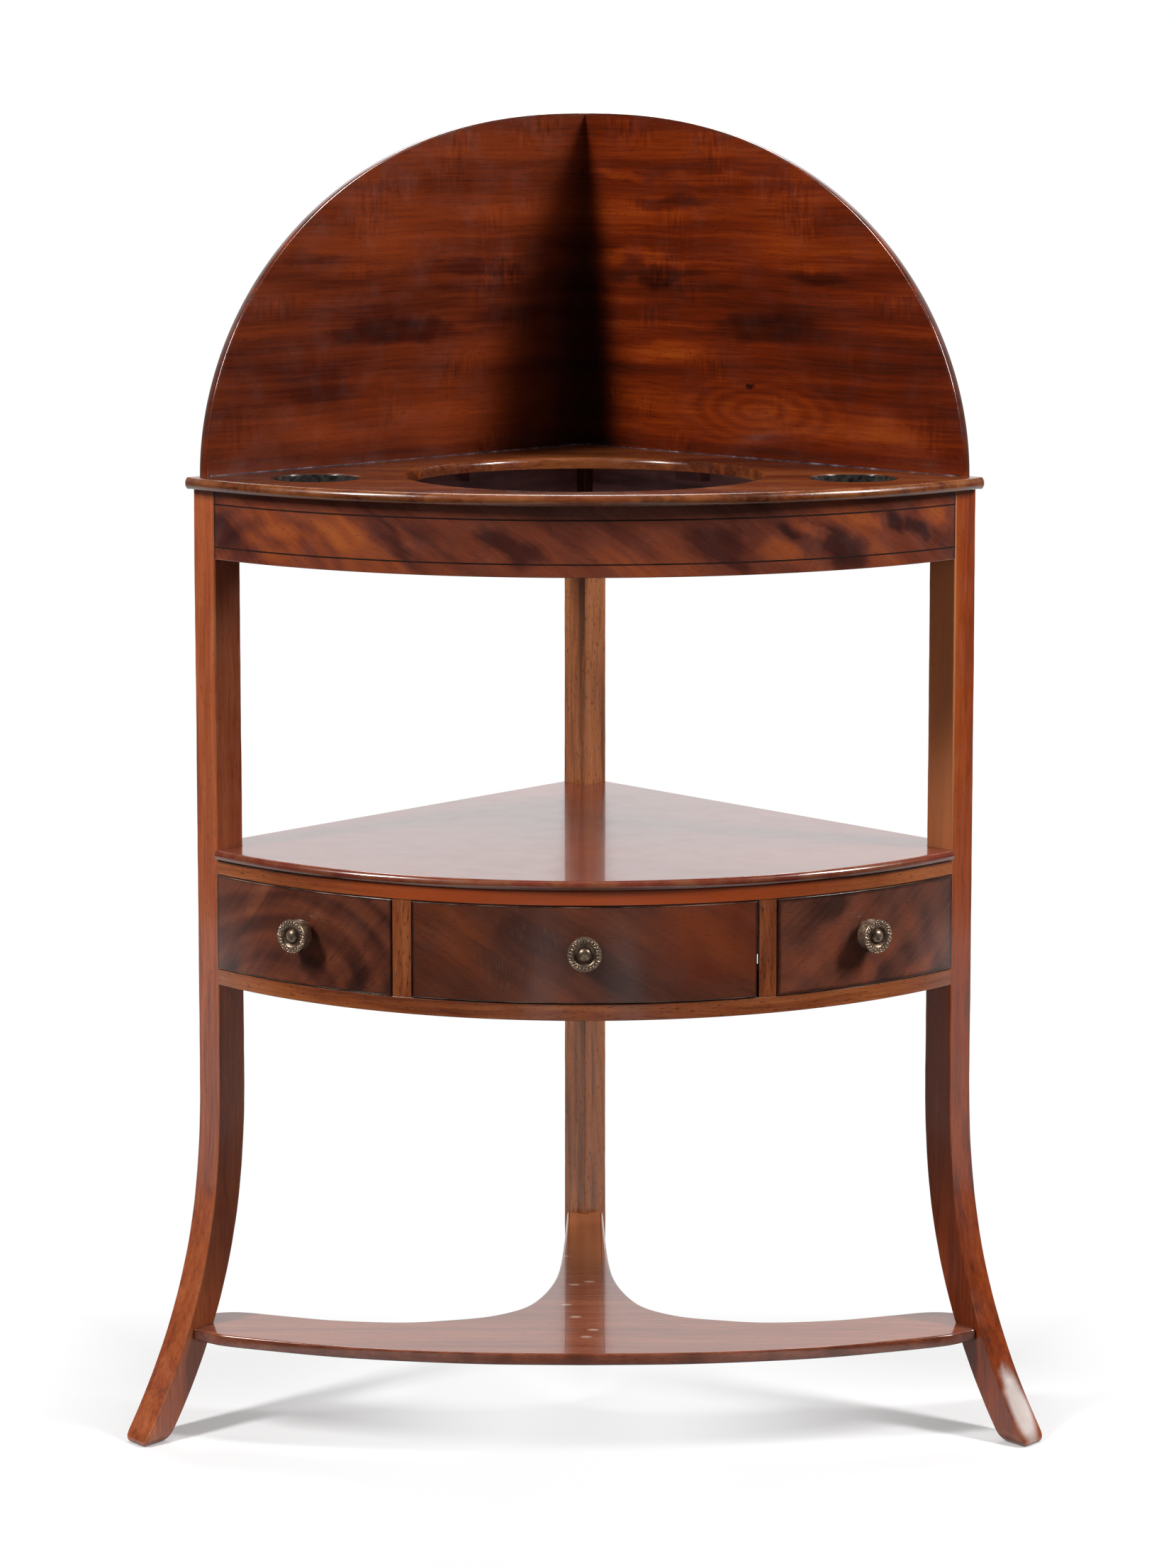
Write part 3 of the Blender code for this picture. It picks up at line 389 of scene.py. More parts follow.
# %% Polished mahogany
def mahogany(name, tones, bands=0.8, streaks=0.7, clouds=0.5, ripple=0.0, turn=0.0, places=(), pores=0.4,
             gloss=0.30, polish=0.6, polish_gloss=0.10, wear_and_highlight_tone="#9A6A44", wear_and_highlight_share=0.4, warp=0.014,
             run=1.0, arcs=(), frames=(), cracks=(), patches=(), unevenness=0.35, dull=0.12):
    """Polished mahogany. tones run dark to light. bands, streaks, clouds and ripple are how strongly
    each pattern moves the tone, and run is how short the streaks are. places are spots: (along, across,
    half length, half height, swing). arcs are growth rings cut aslant, as a sine of the distance from
    a middle: (along, across, how much longer than high, pitch, swing, how far they reach). frames are
    oblongs with a dark border: (middle along, middle across, half length, half height, border). cracks
    are spots where the old polish has crazed: (along, across, half length, half height). patches are
    egg-shaped places of another colour: (middle, half sizes, tone, share, whether it is broken up)."""
    material, add = new_finish(name)
    start = add("Attribute", attribute_name="grain", out="Vector")
    wavy = stirred(add, start, 7.0, 2.0, (warp, warp, warp))
    bent = add("Mapping", {"Vector": wavy, "Rotation": (0, 0, turn)})
    total = add("Value")
    total.default_value = 0.5
    # Growth bands are 20 to 60 mm apart, streaks 5 to 15 mm, fibre lines drawn about 1.5 mm wide
    patterns = (
        (bands, (2.0 * run, 30.0, 30.0), 1.0),
        (streaks, (3.0 * run, 75.0, 60.0), 2.0),
        (streaks * 0.8, (8.0 * run, 240.0, 200.0), 1.0),
        (streaks * 0.7, (24.0 * run, 620.0, 620.0), 1.0),
        (clouds, (4.5, 13.0, 13.0), 2.0),
    )
    for share, pace, detail in patterns:
        swing = add("Math", {0: stretched_noise(add, bent, pace, detail), 1: 0.5}, operation="SUBTRACT")
        total = add("Math", {0: swing, 1: share, 2: total}, operation="MULTIPLY_ADD")
    if ripple:
        # Ripple marks are about 3 mm apart, and come in groups
        swing = add("Math", {0: stretched_noise(add, bent, (300, 60, 60)), 1: 0.5}, operation="SUBTRACT")
        group = stretched_noise(add, start, (13, 20, 13))
        group = add("MapRange", {"Value": group, "From Min": 0.52, "From Max": 0.66, "To Max": ripple})
        total = add("Math", {0: swing, 1: group, 2: total}, operation="MULTIPLY_ADD")
    if places or cracks:
        ragged = stirred(add, start, 26.0, 3.0, (0.05, 0.022, 0))
    for along, across, half_length, half_height, swing in places:
        near = how_far(add, ragged, (along, across, 0), (half_length, half_height, any_depth), turn)
        limits = {"Value": near, "From Min": 1.1, "From Max": 0.35}
        near = add("MapRange", limits, interpolation_type="SMOOTHSTEP")
        total = add("Math", {0: near, 1: swing, 2: total}, operation="MULTIPLY_ADD")
    for along, across, longer, pitch, swing, reach in arcs:
        near = how_far(add, wavy, (along, across, 0), (longer, 1, any_depth))
        uneven = add("TexNoise", {"Vector": start, "Scale": 11.0, "Detail": 1.0})
        ring = add("Math", {0: uneven, 1: pitch * 1.8, 2: near}, operation="MULTIPLY_ADD")
        ring = add("Math", {0: ring, 1: 2 * math.pi / pitch}, operation="MULTIPLY")
        ring = add("Math", {0: ring}, operation="SINE")
        limits = {"Value": near, "From Min": reach, "From Max": reach * 0.4, "To Max": swing}
        fade = add("MapRange", limits, interpolation_type="SMOOTHSTEP")
        total = add("Math", {0: ring, 1: fade, 2: total}, operation="MULTIPLY_ADD")
    tone = add("ValToRGB", {"Fac": total}, zip((0.12, 0.34, 0.5, 0.66, 0.9), tones))
    # Pores are 0.3 mm wide and 2 to 8 mm long on the board, drawn about 1 mm wide so that they show
    pore = stretched_noise(add, start, (170, 950, 950))
    pore = add("MapRange", {"Value": pore, "From Min": 0.60, "From Max": 0.74})
    dark = add("Math", {0: pore, 1: pores}, operation="MULTIPLY")
    tone = add("Mix", {0: dark, 6: tone, 7: colour("#1E0D08")}, data_type="RGBA", out=2)
    for along, across, half_length, half_height, border in frames:
        # A dark border along the edges of a front, from dirt and old polish; on the upper rail it is also
        # painted shade under the shelf's nose. The share is how near the edge is
        inside = add("VectorMath", {0: start, 1: (along, across, 0)}, operation="SUBTRACT")
        inside = add("VectorMath", {0: inside}, operation="ABSOLUTE")
        inside = add("VectorMath", {0: (half_length, half_height, 0), 1: inside}, operation="SUBTRACT")
        inside = add("SeparateXYZ", {0: inside}, out=None)
        nearest = add("Math", {0: inside[0], 1: inside[1]}, operation="MINIMUM")
        uneven = add("TexNoise", {"Vector": start, "Scale": 90.0, "Detail": 2.0})
        nearest = add("Math", {0: uneven, 1: -border, 2: nearest}, operation="MULTIPLY_ADD")
        limits = {"Value": nearest, "From Min": border, "From Max": -border * 0.4, "To Max": 0.85}
        dirt_and_shade = add("MapRange", limits, interpolation_type="SMOOTHSTEP")
        tone = add("Mix", {0: dirt_and_shade, 6: tone, 7: colour("#140806")}, data_type="RGBA", out=2)
    for along, across, half_length, half_height in cracks:
        # Crazed polish: pale upright lines about 0.4 mm wide and 5 mm apart, broken up
        near = how_far(add, ragged, (along, across, 0), (half_length, half_height, any_depth))
        near = add("MapRange", {"Value": near, "From Min": 1.0, "From Max": 0.6})
        cell = add("Mapping", {"Vector": wavy, "Scale": (190, 9, 1)})
        cell = add("TexVoronoi", {"Vector": cell, "Scale": 1.0}, feature="DISTANCE_TO_EDGE")
        line = add("MapRange", {"Value": cell, "From Min": 0.035, "From Max": 0.0})
        line = add("Math", {0: line, 1: near}, operation="MULTIPLY")
        breaks = add("TexNoise", {"Vector": start, "Scale": 110.0, "Detail": 1.0})
        breaks = add("MapRange", {"Value": breaks, "From Min": 0.46, "From Max": 0.58, "To Max": 0.10})
        line = add("Math", {0: line, 1: breaks}, operation="MULTIPLY")
        tone = add("Mix", {0: line, 6: tone, 7: colour("#B09A88")}, data_type="RGBA", out=2)
    patchy = add("TexNoise", {"Vector": start, "Scale": 45.0, "Detail": 4.0})
    patchy = add("MapRange", {"Value": patchy, "From Min": 0.42, "From Max": 0.68})
    for middle, half_sizes, patch_tone, share, broken in patches:
        near = how_far(add, start, middle, half_sizes)
        limits = {"Value": near, "From Min": 1.0, "From Max": 0.45, "To Max": share}
        near = add("MapRange", limits, interpolation_type="SMOOTHSTEP")
        if broken:
            near = add("Math", {0: near, 1: patchy}, operation="MULTIPLY")
        tone = add("Mix", {0: near, 6: tone, 7: colour(patch_tone)}, data_type="RGBA", out=2)
    # The arrises take the wear tone: worn edges, and on the drawer's and the left front's veneer also a
    # painted highlight
    worn = add("Attribute", attribute_name="wear", out="Fac")
    worn = add("Math", {0: worn, 1: patchy}, operation="MULTIPLY")
    worn = add("Math", {0: worn, 1: wear_and_highlight_share}, operation="MULTIPLY")
    tone = add("Mix", {0: worn, 6: tone, 7: colour(wear_and_highlight_tone)}, data_type="RGBA", out=2)
    rough = add("MapRange", {"Value": patchy, "To Min": gloss, "To Max": gloss + dull})
    # Polish sinks a little into the pores, and an old board is never quite flat
    wave = add("TexNoise", {"Vector": start, "Scale": 24.0, "Detail": 1.0})
    height = add("Math", {0: pore, 1: -0.10, 2: wave}, operation="MULTIPLY_ADD")
    bump = add("Bump", {"Height": height, "Strength": unevenness, "Distance": 0.0012})
    polish_bump = add("Bump", {"Height": wave, "Strength": unevenness, "Distance": 0.0008})
    wood = add("BsdfPrincipled", {
        "Base Color": tone, "Roughness": rough, "IOR": 1.5, "Normal": bump,
        "Coat Weight": polish, "Coat Roughness": polish_gloss, "Coat Normal": polish_bump})
    add("OutputMaterial", {"Surface": wood}, out=None)
    return material


# %% Everything that is not polished mahogany
def plain_finish(name, stops, pace, detail, rough, bump, shader, grain=False, worn=0.0, spots=0.0):
    """A finish whose tone, gloss and small unevenness all follow one noise. stops are its tones, rough
    its least and greatest roughness, bump its strength and height in metres, and shader the values set
    on the surface itself. With worn the wear map, plus that share of the noise, picks the tone. spots is
    how strongly a coarser noise darkens it. Without grain it reads Object coordinates."""
    material, add = new_finish(name)
    if grain:
        place = add("Attribute", attribute_name="grain", out="Vector")
    else:
        place = add("TexCoord", out="Object")
    noise = mixed = stretched_noise(add, place, pace, detail)
    if worn:
        wear = add("Attribute", attribute_name="wear", out="Fac")
        mixed = add("Math", {0: noise, 1: worn, 2: wear}, operation="MULTIPLY_ADD")
    tone = add("ValToRGB", {"Fac": mixed}, stops)
    if spots:
        spot = add("TexNoise", {"Vector": place, "Scale": 38.0, "Detail": 3.0})
        spot = add("MapRange", {"Value": spot, "From Min": 0.5, "From Max": 0.75, "To Max": spots})
        tone = add("Mix", {0: spot, 6: tone, 7: colour(stops[0][1])}, data_type="RGBA", out=2)
    gloss = add("MapRange", {"Value": noise, "To Min": rough[0], "To Max": rough[1]})
    normal = add("Bump", {"Height": noise, "Strength": bump[0], "Distance": bump[1]})
    surface = {"Base Color": tone, "Roughness": gloss, "Normal": normal, **shader}
    add("OutputMaterial", {"Surface": add("BsdfPrincipled", surface)}, out=None)
    return material


# Ebony under polish is matt and nearly black. The wax is the grey dust line in the splashboards' joint.
# Japan is a black varnish that shines on the turned cups. The brass has gone brown, but where hands rub
# it, on the boss and the rim, it is pale
ebony = plain_finish(
    "ebony_line_under_polish", ((0.3, "#140906"), (0.7, "#33190F")), (60, 900, 900), 2.0, (0.55, 0.8),
    (0.3, 0.0002), {"IOR": 1.5, "Specular IOR Level": 0.15}, grain=True)
joint_wax = plain_finish(
    "grey_wax_in_a_joint", ((0.35, "#1A1016"), (0.55, "#4A3E4C"), (0.72, "#8C8490")), (110, 110, 110), 3.0,
    (0.3, 0.6), (0.5, 0.0005), {"IOR": 1.45})
cup_japan = plain_finish(
    "black_japanned_turned_cup", ((0.35, "#151210"), (0.7, "#3C3733")), (160, 160, 160), 3.0, (0.1, 0.35),
    (0.4, 0.0006), {"IOR": 1.5, "Coat Weight": 0.3, "Coat Roughness": 0.1})
brass = plain_finish(
    "old_lacquered_cast_brass", ((0.15, "#2A201B"), (0.45, "#6E5949"), (0.75, "#9C8672"), (1.0, "#CFB79C")),
    (420, 420, 420), 3.0, (0.22, 0.5), (0.35, 0.0003), {"Metallic": 0.82}, worn=0.55)

# %% The boards' own tones
# Places and patches are named in a board's grain map, so they take in its offset
top_offset = (0.4, 0, 0)
leg_depth_offset = 0.3
back_leg_offset = (0.5, 3.1, 0.2)
upper_rail_offset = (2.1, 0, 0.4)
platform_offset = (2.6, 0.5, 0)
# Each splashboard has a near-black patch on its front face by the corner between them, painted shadow of
# the other board. Their backs are bare
splash_thickness = 0.009
bare_back = ((0.2, 0.15, 0.0), (1.0, 1.0, 0.006), "#4C2E20", 0.85, False)
splash_left = mahogany(
    "shellacked_mahogany_left_splash",
    ("#280A04", "#45160A", "#66270F", "#803414", "#9C4A1C"),
    bands=0.6, streaks=0.26, clouds=0.45, ripple=0.36, warp=0.008, gloss=0.2,
    wear_and_highlight_tone="#4A2012", wear_and_highlight_share=0.9,
    places=((0.13, 0.163, 0.080, 0.011, -0.20), (0.33, 0.175, 0.050, 0.010, -0.12),
            (0.235, 0.110, 0.085, 0.011, -0.24), (0.10, 0.118, 0.060, 0.013, -0.14),
            (0.19, 0.039, 0.060, 0.014, 0.08), (0.33, 0.066, 0.060, 0.020, -0.11),
            (0.19, 0.200, 0.120, 0.022, 0.04), (0.17, 0.245, 0.120, 0.020, 0.03),
            (0.37, 0.020, 0.050, 0.020, -0.07), (0.25, 0.040, 0.100, 0.022, -0.07)),
    # The first patch is painted shadow in the corner
    patches=(((0.0, 0.0, splash_thickness), (0.155, 0.32, 0.006), "#100402", 0.87, False), bare_back))
splash_right = mahogany(
    "shellacked_mahogany_right_splash",
    ("#250803", "#431405", "#631F06", "#82310B", "#A44E14"),
    bands=0.68, streaks=0.3, clouds=0.5, ripple=0.34, warp=0.009, gloss=0.2,
    wear_and_highlight_tone="#4A2012", wear_and_highlight_share=0.9,
    places=((0.05, 0.241, 0.045, 0.006, 0.17), (0.165, 0.238, 0.085, 0.008, 0.15),
            (0.115, 0.217, 0.060, 0.008, -0.20), (0.092, 0.157, 0.078, 0.011, -0.26),
            (0.285, 0.157, 0.050, 0.008, -0.18), (0.228, 0.112, 0.075, 0.013, -0.24),
            (0.07, 0.174, 0.045, 0.007, 0.15), (0.107, 0.088, 0.055, 0.011, 0.12),
            (0.30, 0.200, 0.060, 0.020, -0.05), (0.37, 0.033, 0.045, 0.013, 0.10),
            (0.21, 0.059, 0.006, 0.0035, -0.45)),
    arcs=((0.222, 0.041, 3.4, 0.008, 0.045, 0.040),),
    # The first patch is painted shadow in the corner
    patches=(((0.0, 0.0, splash_thickness), (0.060, 0.32, 0.006), "#100402", 0.88, False), bare_back))
top_wood = mahogany(
    "shellacked_mahogany_top",
    ("#2A1209", "#4A200F", "#6C3418", "#824620", "#9A5A2C"),
    bands=0.5, streaks=0.5, clouds=0.4, gloss=0.24, polish=0.3, wear_and_highlight_tone="#9A5A28", wear_and_highlight_share=0.6,
    places=((0.10, 0.0, 0.12, 0.30, -0.20),),
    patches=(((top_offset[0] - 0.32, -0.05, 0.79), (0.05, 0.04, 1.0), "#A0583A", 0.6, True),))
flame_veneer = mahogany(
    "flame_mahogany_veneer",
    ("#2C1210", "#4E2118", "#783823", "#9A4A24", "#B6642A"),
    bands=0.22, streaks=0.16, clouds=0.6, turn=math.radians(34), ripple=0.12, warp=0.03, run=2.0,
    places=((0.213, 0.740, 0.036, 0.017, -0.26), (0.262, 0.756, 0.020, 0.007, -0.24),
            (0.288, 0.750, 0.020, 0.008, -0.22), (0.112, 0.746, 0.040, 0.018, -0.18),
            (0.161, 0.757, 0.013, 0.006, -0.20), (0.232, 0.762, 0.020, 0.006, 0.14),
            (0.155, 0.741, 0.020, 0.010, 0.16), (0.308, 0.758, 0.022, 0.010, 0.22),
            (0.183, 0.756, 0.024, 0.007, 0.14), (0.026, 0.733, 0.040, 0.010, 0.08),
            (-0.256, 0.750, 0.030, 0.014, 0.14), (-0.197, 0.752, 0.034, 0.014, 0.14),
            (-0.325, 0.745, 0.030, 0.012, -0.18), (-0.280, 0.736, 0.030, 0.010, 0.12),
            (-0.152, 0.748, 0.045, 0.012, -0.16), (-0.058, 0.747, 0.030, 0.011, -0.20),
            (-0.100, 0.738, 0.030, 0.010, 0.08), (0.04, 0.752, 0.040, 0.011, -0.08)),
    arcs=((-0.265, 0.690, 1.2, 0.017, 0.04, 0.16),),
    frames=((0.0, 0.742, 0.3335, 0.055, 0.0016),))
# The drawer's veneer is pale on its arrises: chipped edges, and a painted highlight along them
drawer_sheet = mahogany(
    "dark_mahogany_veneer_drawer",
    ("#2E1610", "#4C261A", "#64321F", "#7E3E20", "#944A22"),
    bands=0.35, streaks=0.2, clouds=0.5, turn=math.radians(30), warp=0.03, run=2.0, unevenness=0.25,
    wear_and_highlight_tone="#A48C7C", wear_and_highlight_share=0.9,
    places=((0.995, 0.440, 0.050, 0.030, 0.16), (0.955, 0.442, 0.040, 0.016, 0.10),
            (0.845, 0.425, 0.035, 0.040, -0.16), (0.90, 0.405, 0.060, 0.020, -0.06),
            (0.795, 0.425, 0.020, 0.030, 0.05)),
    cracks=((0.845, 0.425, 0.045, 0.040),),
    frames=((0.9, 0.42375, 0.1385, 0.0386, 0.0012),),
    patches=(((1.00, 0.435, 0.0), (0.06, 0.05, 1.0), "#7A2C12", 0.35, False),))
# The left front's veneer is pale on its arrises: chipped edges, and a painted highlight along the top edge
left_sheet = mahogany(
    "dark_mahogany_veneer_left",
    ("#281512", "#44231A", "#653424", "#80452C", "#9A5A3A"),
    bands=0.3, streaks=0.2, clouds=0.35, turn=math.radians(-50), warp=0.012, run=2.0, unevenness=0.25,
    wear_and_highlight_tone="#A48C7C", wear_and_highlight_share=0.9,
    places=((-0.80, 0.400, 0.025, 0.014, 0.12), (-0.79, 0.450, 0.030, 0.014, 0.12),
            (-0.69, 0.395, 0.025, 0.014, -0.14)),
    arcs=((-0.772, 0.352, 1.15, 0.027, 0.075, 0.60), (-0.772, 0.352, 1.15, 0.0105, 0.02, 0.60)),
    frames=((-0.7447, 0.42375, 0.0882, 0.0389, 0.0016),))
right_sheet = mahogany(
    "dark_mahogany_veneer_right",
    ("#2A1814", "#47281F", "#6C3D2E", "#844630", "#96563C"),
    bands=0.3, streaks=0.2, clouds=0.35, turn=math.radians(-40), warp=0.012, run=2.0, unevenness=0.25,
    places=((0.70, 0.448, 0.035, 0.014, -0.13), (0.765, 0.452, 0.016, 0.012, -0.10),
            (0.775, 0.420, 0.030, 0.014, 0.12), (0.80, 0.394, 0.020, 0.008, 0.18),
            (0.745, 0.393, 0.018, 0.009, 0.16), (0.70, 0.410, 0.020, 0.012, 0.10)),
    arcs=((0.66, 0.365, 1.1, 0.031, 0.04, 0.60),),
    frames=((0.7447, 0.42375, 0.0882, 0.0389, 0.0028),))
# Painted shade darkens the left leg's inner face below the frieze, and painted light lifts the shade that
# the top casts on the right leg's inner face
inner_face = leg_depth_offset + leg_side
leg_left_wood = mahogany(
    "shellacked_mahogany_left_leg",
    ("#4A1C10", "#79351E", "#A55029", "#BA6438", "#CC8052"),
    bands=0.4, streaks=0.4, clouds=0.3, polish=0.5,
    patches=(((0.71, -1.262, inner_face), (0.20, 0.1, 0.003), "#35180F", 0.45, False),))
leg_right_wood = mahogany(
    "shellacked_mahogany_right_leg",
    ("#3E1606", "#6A2808", "#923A08", "#A64C16", "#BA662A"),
    bands=0.4, streaks=0.4, clouds=0.3, polish=0.4,
    patches=(((0.72, 2.137, inner_face), (0.36, 0.1, 0.003), "#E09460", 0.6, False),
             ((0.064, 2.20, 0.3185), (0.022, 0.03, 0.0080), "#C8B0A4", 0.8, True),
             ((0.030, 2.22, 0.3135), (0.038, 0.05, 0.0145), "#EADDD6", 1.0, True),
             ((0.026, 2.22, 0.3135), (0.034, 0.05, 0.0135), "#EADDD6", 0.8, False)))
# The back leg is painted darker at its top, inside under the top board, as painted shade, and is a little
# darker near the floor
back_leg_wood = mahogany(
    "open_pored_mahogany_back_leg",
    ("#42200F", "#74401F", "#9C5C34", "#B07040", "#C08652"),
    bands=0.3, streaks=0.45, clouds=0.3, pores=0.8, gloss=0.4, polish=0.18,
    places=((back_leg_offset[0] + 0.765, 3.113, 0.060, 0.5, -0.6),
            (back_leg_offset[0] + 0.10, 3.113, 0.20, 0.5, -0.10)))
rail_tones = ("#4A2010", "#74381F", "#944D28", "#AC6236", "#C07A4C")
muntin_wood = mahogany(
    "shellacked_mahogany_uprights", rail_tones, bands=0.4, streaks=0.45, clouds=0.4, pores=0.7, run=2.0)
lower_rail_wood = mahogany(
    "shellacked_mahogany_lower_rail", rail_tones, bands=0.3, streaks=0.45, clouds=0.4, pores=0.75,
    places=((-0.28, 0.371, 0.060, 0.02, 0.10), (0.25, 0.371, 0.070, 0.02, 0.08)))
rail_low, rail_high = levels("upper_bow_rail")
rail_half = (rail_high - rail_low) / 2
# The shelf's nose shades the upper rail. A paler patch along its middle is painted light that lifts this
# shade, and a dark border along its edges is painted shade under the nose, together with some dirt
upper_rail_wood = mahogany(
    "shellacked_mahogany_upper_rail", rail_tones, bands=0.3, streaks=0.45, clouds=0.4, pores=0.75,
    places=((2.42, 0.470, 0.060, 0.02, 0.10),),
    patches=(((upper_rail_offset[0], 0.465, 0.4), (0.26, 0.05, 0.05), "#B44C1C", 0.85, False),),
    frames=((upper_rail_offset[0], rail_low + rail_half - 0.0015, 0.34, rail_half + 0.0015, 0.0018),))
shelf_wood = mahogany(
    "french_polished_mahogany_shelf",
    ("#3C170F", "#5A251A", "#773424", "#88402C", "#985038"),
    bands=0.12, streaks=0.16, clouds=0.10, gloss=0.22, polish=0.72, polish_gloss=0.05, unevenness=0.07,
    dull=0.05)
# Marks on the platform by x and y on the plan: its rubbed neck, its two darker tips, and small chips
platform_marks = (
    (0, 0.14, 0.04, 0.16, "#A4623C", 0.75, False), (-0.325, -0.10, 0.03, 0.04, "#2E1A14", 0.8, True),
    (0.325, -0.10, 0.03, 0.04, "#5A4440", 0.8, True))
chips = ((-0.018, 0.079), (-0.009, -0.001), (0.004, 0.007), (-0.0154, -0.055), (-0.0076, -0.087),
         (0.007, -0.120), (0.0013, -0.138))
platform_marks += tuple((x, y, 0.006, 0.003, "#C4AC9C", 0.8, False) for x, y in chips)
platform_wood = mahogany(
    "shellacked_mahogany_platform",
    ("#4A2014", "#6A3321", "#884A34", "#9A5A40", "#AC6C4E"),
    bands=0.15, streaks=0.35, clouds=0.15, gloss=0.15, polish=0.45, polish_gloss=0.05, unevenness=0.04,
    dull=0.03, wear_and_highlight_tone="#5A2A1C", wear_and_highlight_share=0.7,
    patches=[((platform_offset[0] + x, platform_offset[1] + y, 0), (wide, deep, 1), *look)
             for x, y, wide, deep, *look in platform_marks])
print("finishes made:", len(bpy.data.materials))

# %% [markdown]
# ## Legs
#
# The front legs are square above and sweep out along the walls near the floor, sawn from one board
# each. A leg is a small rounded square carried up its height. The sweep grows with a power of the
# distance below its start, so it joins the straight part without a kink. The corner radius wanders
# along the leg, as hand-planed arrises do after two centuries.

# %% Front legs and back leg
sweep_start = 0.300
foot_sweep = 0.084
sweep_power = 2.5
foot_round = 0.008
leg_arris = 0.0009
arris_wander = 0.0004


def sweep(height):
    """How far a front leg has swept out at a height: the foot's sweep times a power of what is left."""
    left = np.clip(1 - height / sweep_start, 0, 1)
    return foot_sweep * left ** sweep_power


def leg_rings(side, along_start, swept, seed):
    """Rounded squares up a leg, drawn in a little at the foot where the end grain has worn round."""
    heights = np.concatenate((
        foot_round * np.array((0, 0.03, 0.12, 0.3, 0.6, 1)),
        np.linspace(0.010, sweep_start, 60), np.linspace(sweep_start + 0.006, frame_top, 80)))
    worn_foot = foot_round * 0.6 * (1 - np.sqrt(1 - np.clip(1 - heights / foot_round, 0, 1) ** 2))
    half = leg_side / 2 - worn_foot
    middle = along_start + leg_side / 2
    signs = np.array(((-1, -1), (1, -1), (1, 1), (-1, 1)))
    corners = half[:, None, None] * signs + np.array((middle, leg_side / 2))
    uneven = np.stack([wander(heights, seed + number) for number in range(4)], axis=-1)
    radii = leg_arris + arris_wander * uneven
    outline, wear = rounded_outline(corners, radii)
    if swept:
        outline[..., 0] += sweep(heights)[:, None]
    rings = wall_point(side, outline[..., 0], outline[..., 1], heights[:, None])
    wear = np.broadcast_to(wear, rings.shape[:2]).copy()
    wear[heights <= foot_round] = 1
    return rings, wear


for side, leg, wood in ((-1, "left_front_leg", leg_left_wood), (1, "right_front_leg", leg_right_wood)):
    rings, wear = leg_rings(side, bow_radius, True, 11 + 5 * side)
    stacked_piece(leg, rings, upright_grain(side), wear, wood, "leg_mahogany",
                  offset=(0, side * 1.7, leg_depth_offset))
rings, wear = leg_rings(1, 0.0, False, 31)
stacked_piece("back_leg", rings, upright_grain(1), wear, back_leg_wood, "back_leg_mahogany",
              offset=back_leg_offset)
print("legs made", pieces_made)

# %% [markdown]
# ## Frieze, lines and bow rails
#
# The frieze and the rails follow the bow between the front legs. Each is a rounded oblong carried round
# an arc, and runs half a millimetre into the legs so that no light shows in the joint. The two dark
# lines are strips of ebony let into the veneer, which stand a hair proud as the veneer has shrunk.

# %% Carry an oblong round the bow
into_leg = 0.0005
plain_arris = 0.0006


def bow_strip(name, radii, heights, angles, material, slot, arris=plain_arris, steps=120, **hung):
    """A rounded oblong between two radii and two heights, carried round the bow between two angles."""
    corners = [(radii[i], heights[j]) for i, j in ((0, 0), (1, 0), (1, 1), (0, 1))]
    outline, wear = rounded_outline(corners, arris)
    angle = np.linspace(*angles, steps + 1)[:, None]
    rings = bow_point(outline[:, 0], angle, outline[:, 1])
    stacked_piece(name, rings, bow_grain, wear, material, slot, **hung)


bow_angles = (-quarter - into_leg / bow_radius, quarter + into_leg / bow_radius)
frieze_depth = 0.018
bow_strip("bow_frieze", (bow_radius - frieze_depth, bow_radius), levels("bow_frieze"), bow_angles,
          flame_veneer, "flame_veneer")
rail_depth = 0.026
rails = (("lower_bow_rail", lower_rail_wood, (0, 0, 0.4)),
         ("upper_bow_rail", upper_rail_wood, upper_rail_offset))
for rail, wood, offset in rails:
    bow_strip(rail, (bow_radius - rail_depth, bow_radius), levels(rail), bow_angles, wood, "rail_mahogany",
              offset=offset)

# %% Ebony lines
line_proud = 0.00003
line_depth = 0.0008
for line in ("upper_stringing", "lower_stringing"):
    bow_strip(line, (bow_radius - line_depth, bow_radius + line_proud), levels(line), bow_angles,
              ebony, "ebony_line", arris=0.0002)
print("bow pieces made", len(pieces_made))

# %% [markdown]
# ## Top board
#
# One board with its grain from left to right, a rounded nose that overhangs the frieze, a basin hole
# with a rolled upper edge and two plain cup holes. A stack of outlines gives the outer edge, a second
# stack gives each hole, and Blender fills the flat rings between them above and below.

# %% Top board with its holes
top_low, top_high = levels("top_board")
top_radius = bow_radius + 0.011
tip_round = 0.0035
basin_hole_radius = 0.1460
basin_hole_y = -0.0532
basin_lip = 0.0045
cup_hole_lip = 0.0007
# Half of the flat strip that is left between the two roundings of a nose
face_left = 0.00005
cup_hole_radius = 0.0365
cup_x = 0.2180
cup_y = -0.0887


def wall_corners(radius):
    """Plan points where an arc about the bow's centre meets the two walls, and the room's corner."""
    reach = leg_side + math.sqrt(radius ** 2 - leg_side ** 2)
    return wall_point(1, reach, 0, 0)[:2], wall_point(-1, reach, 0, 0)[:2], np.array((0, corner_y))


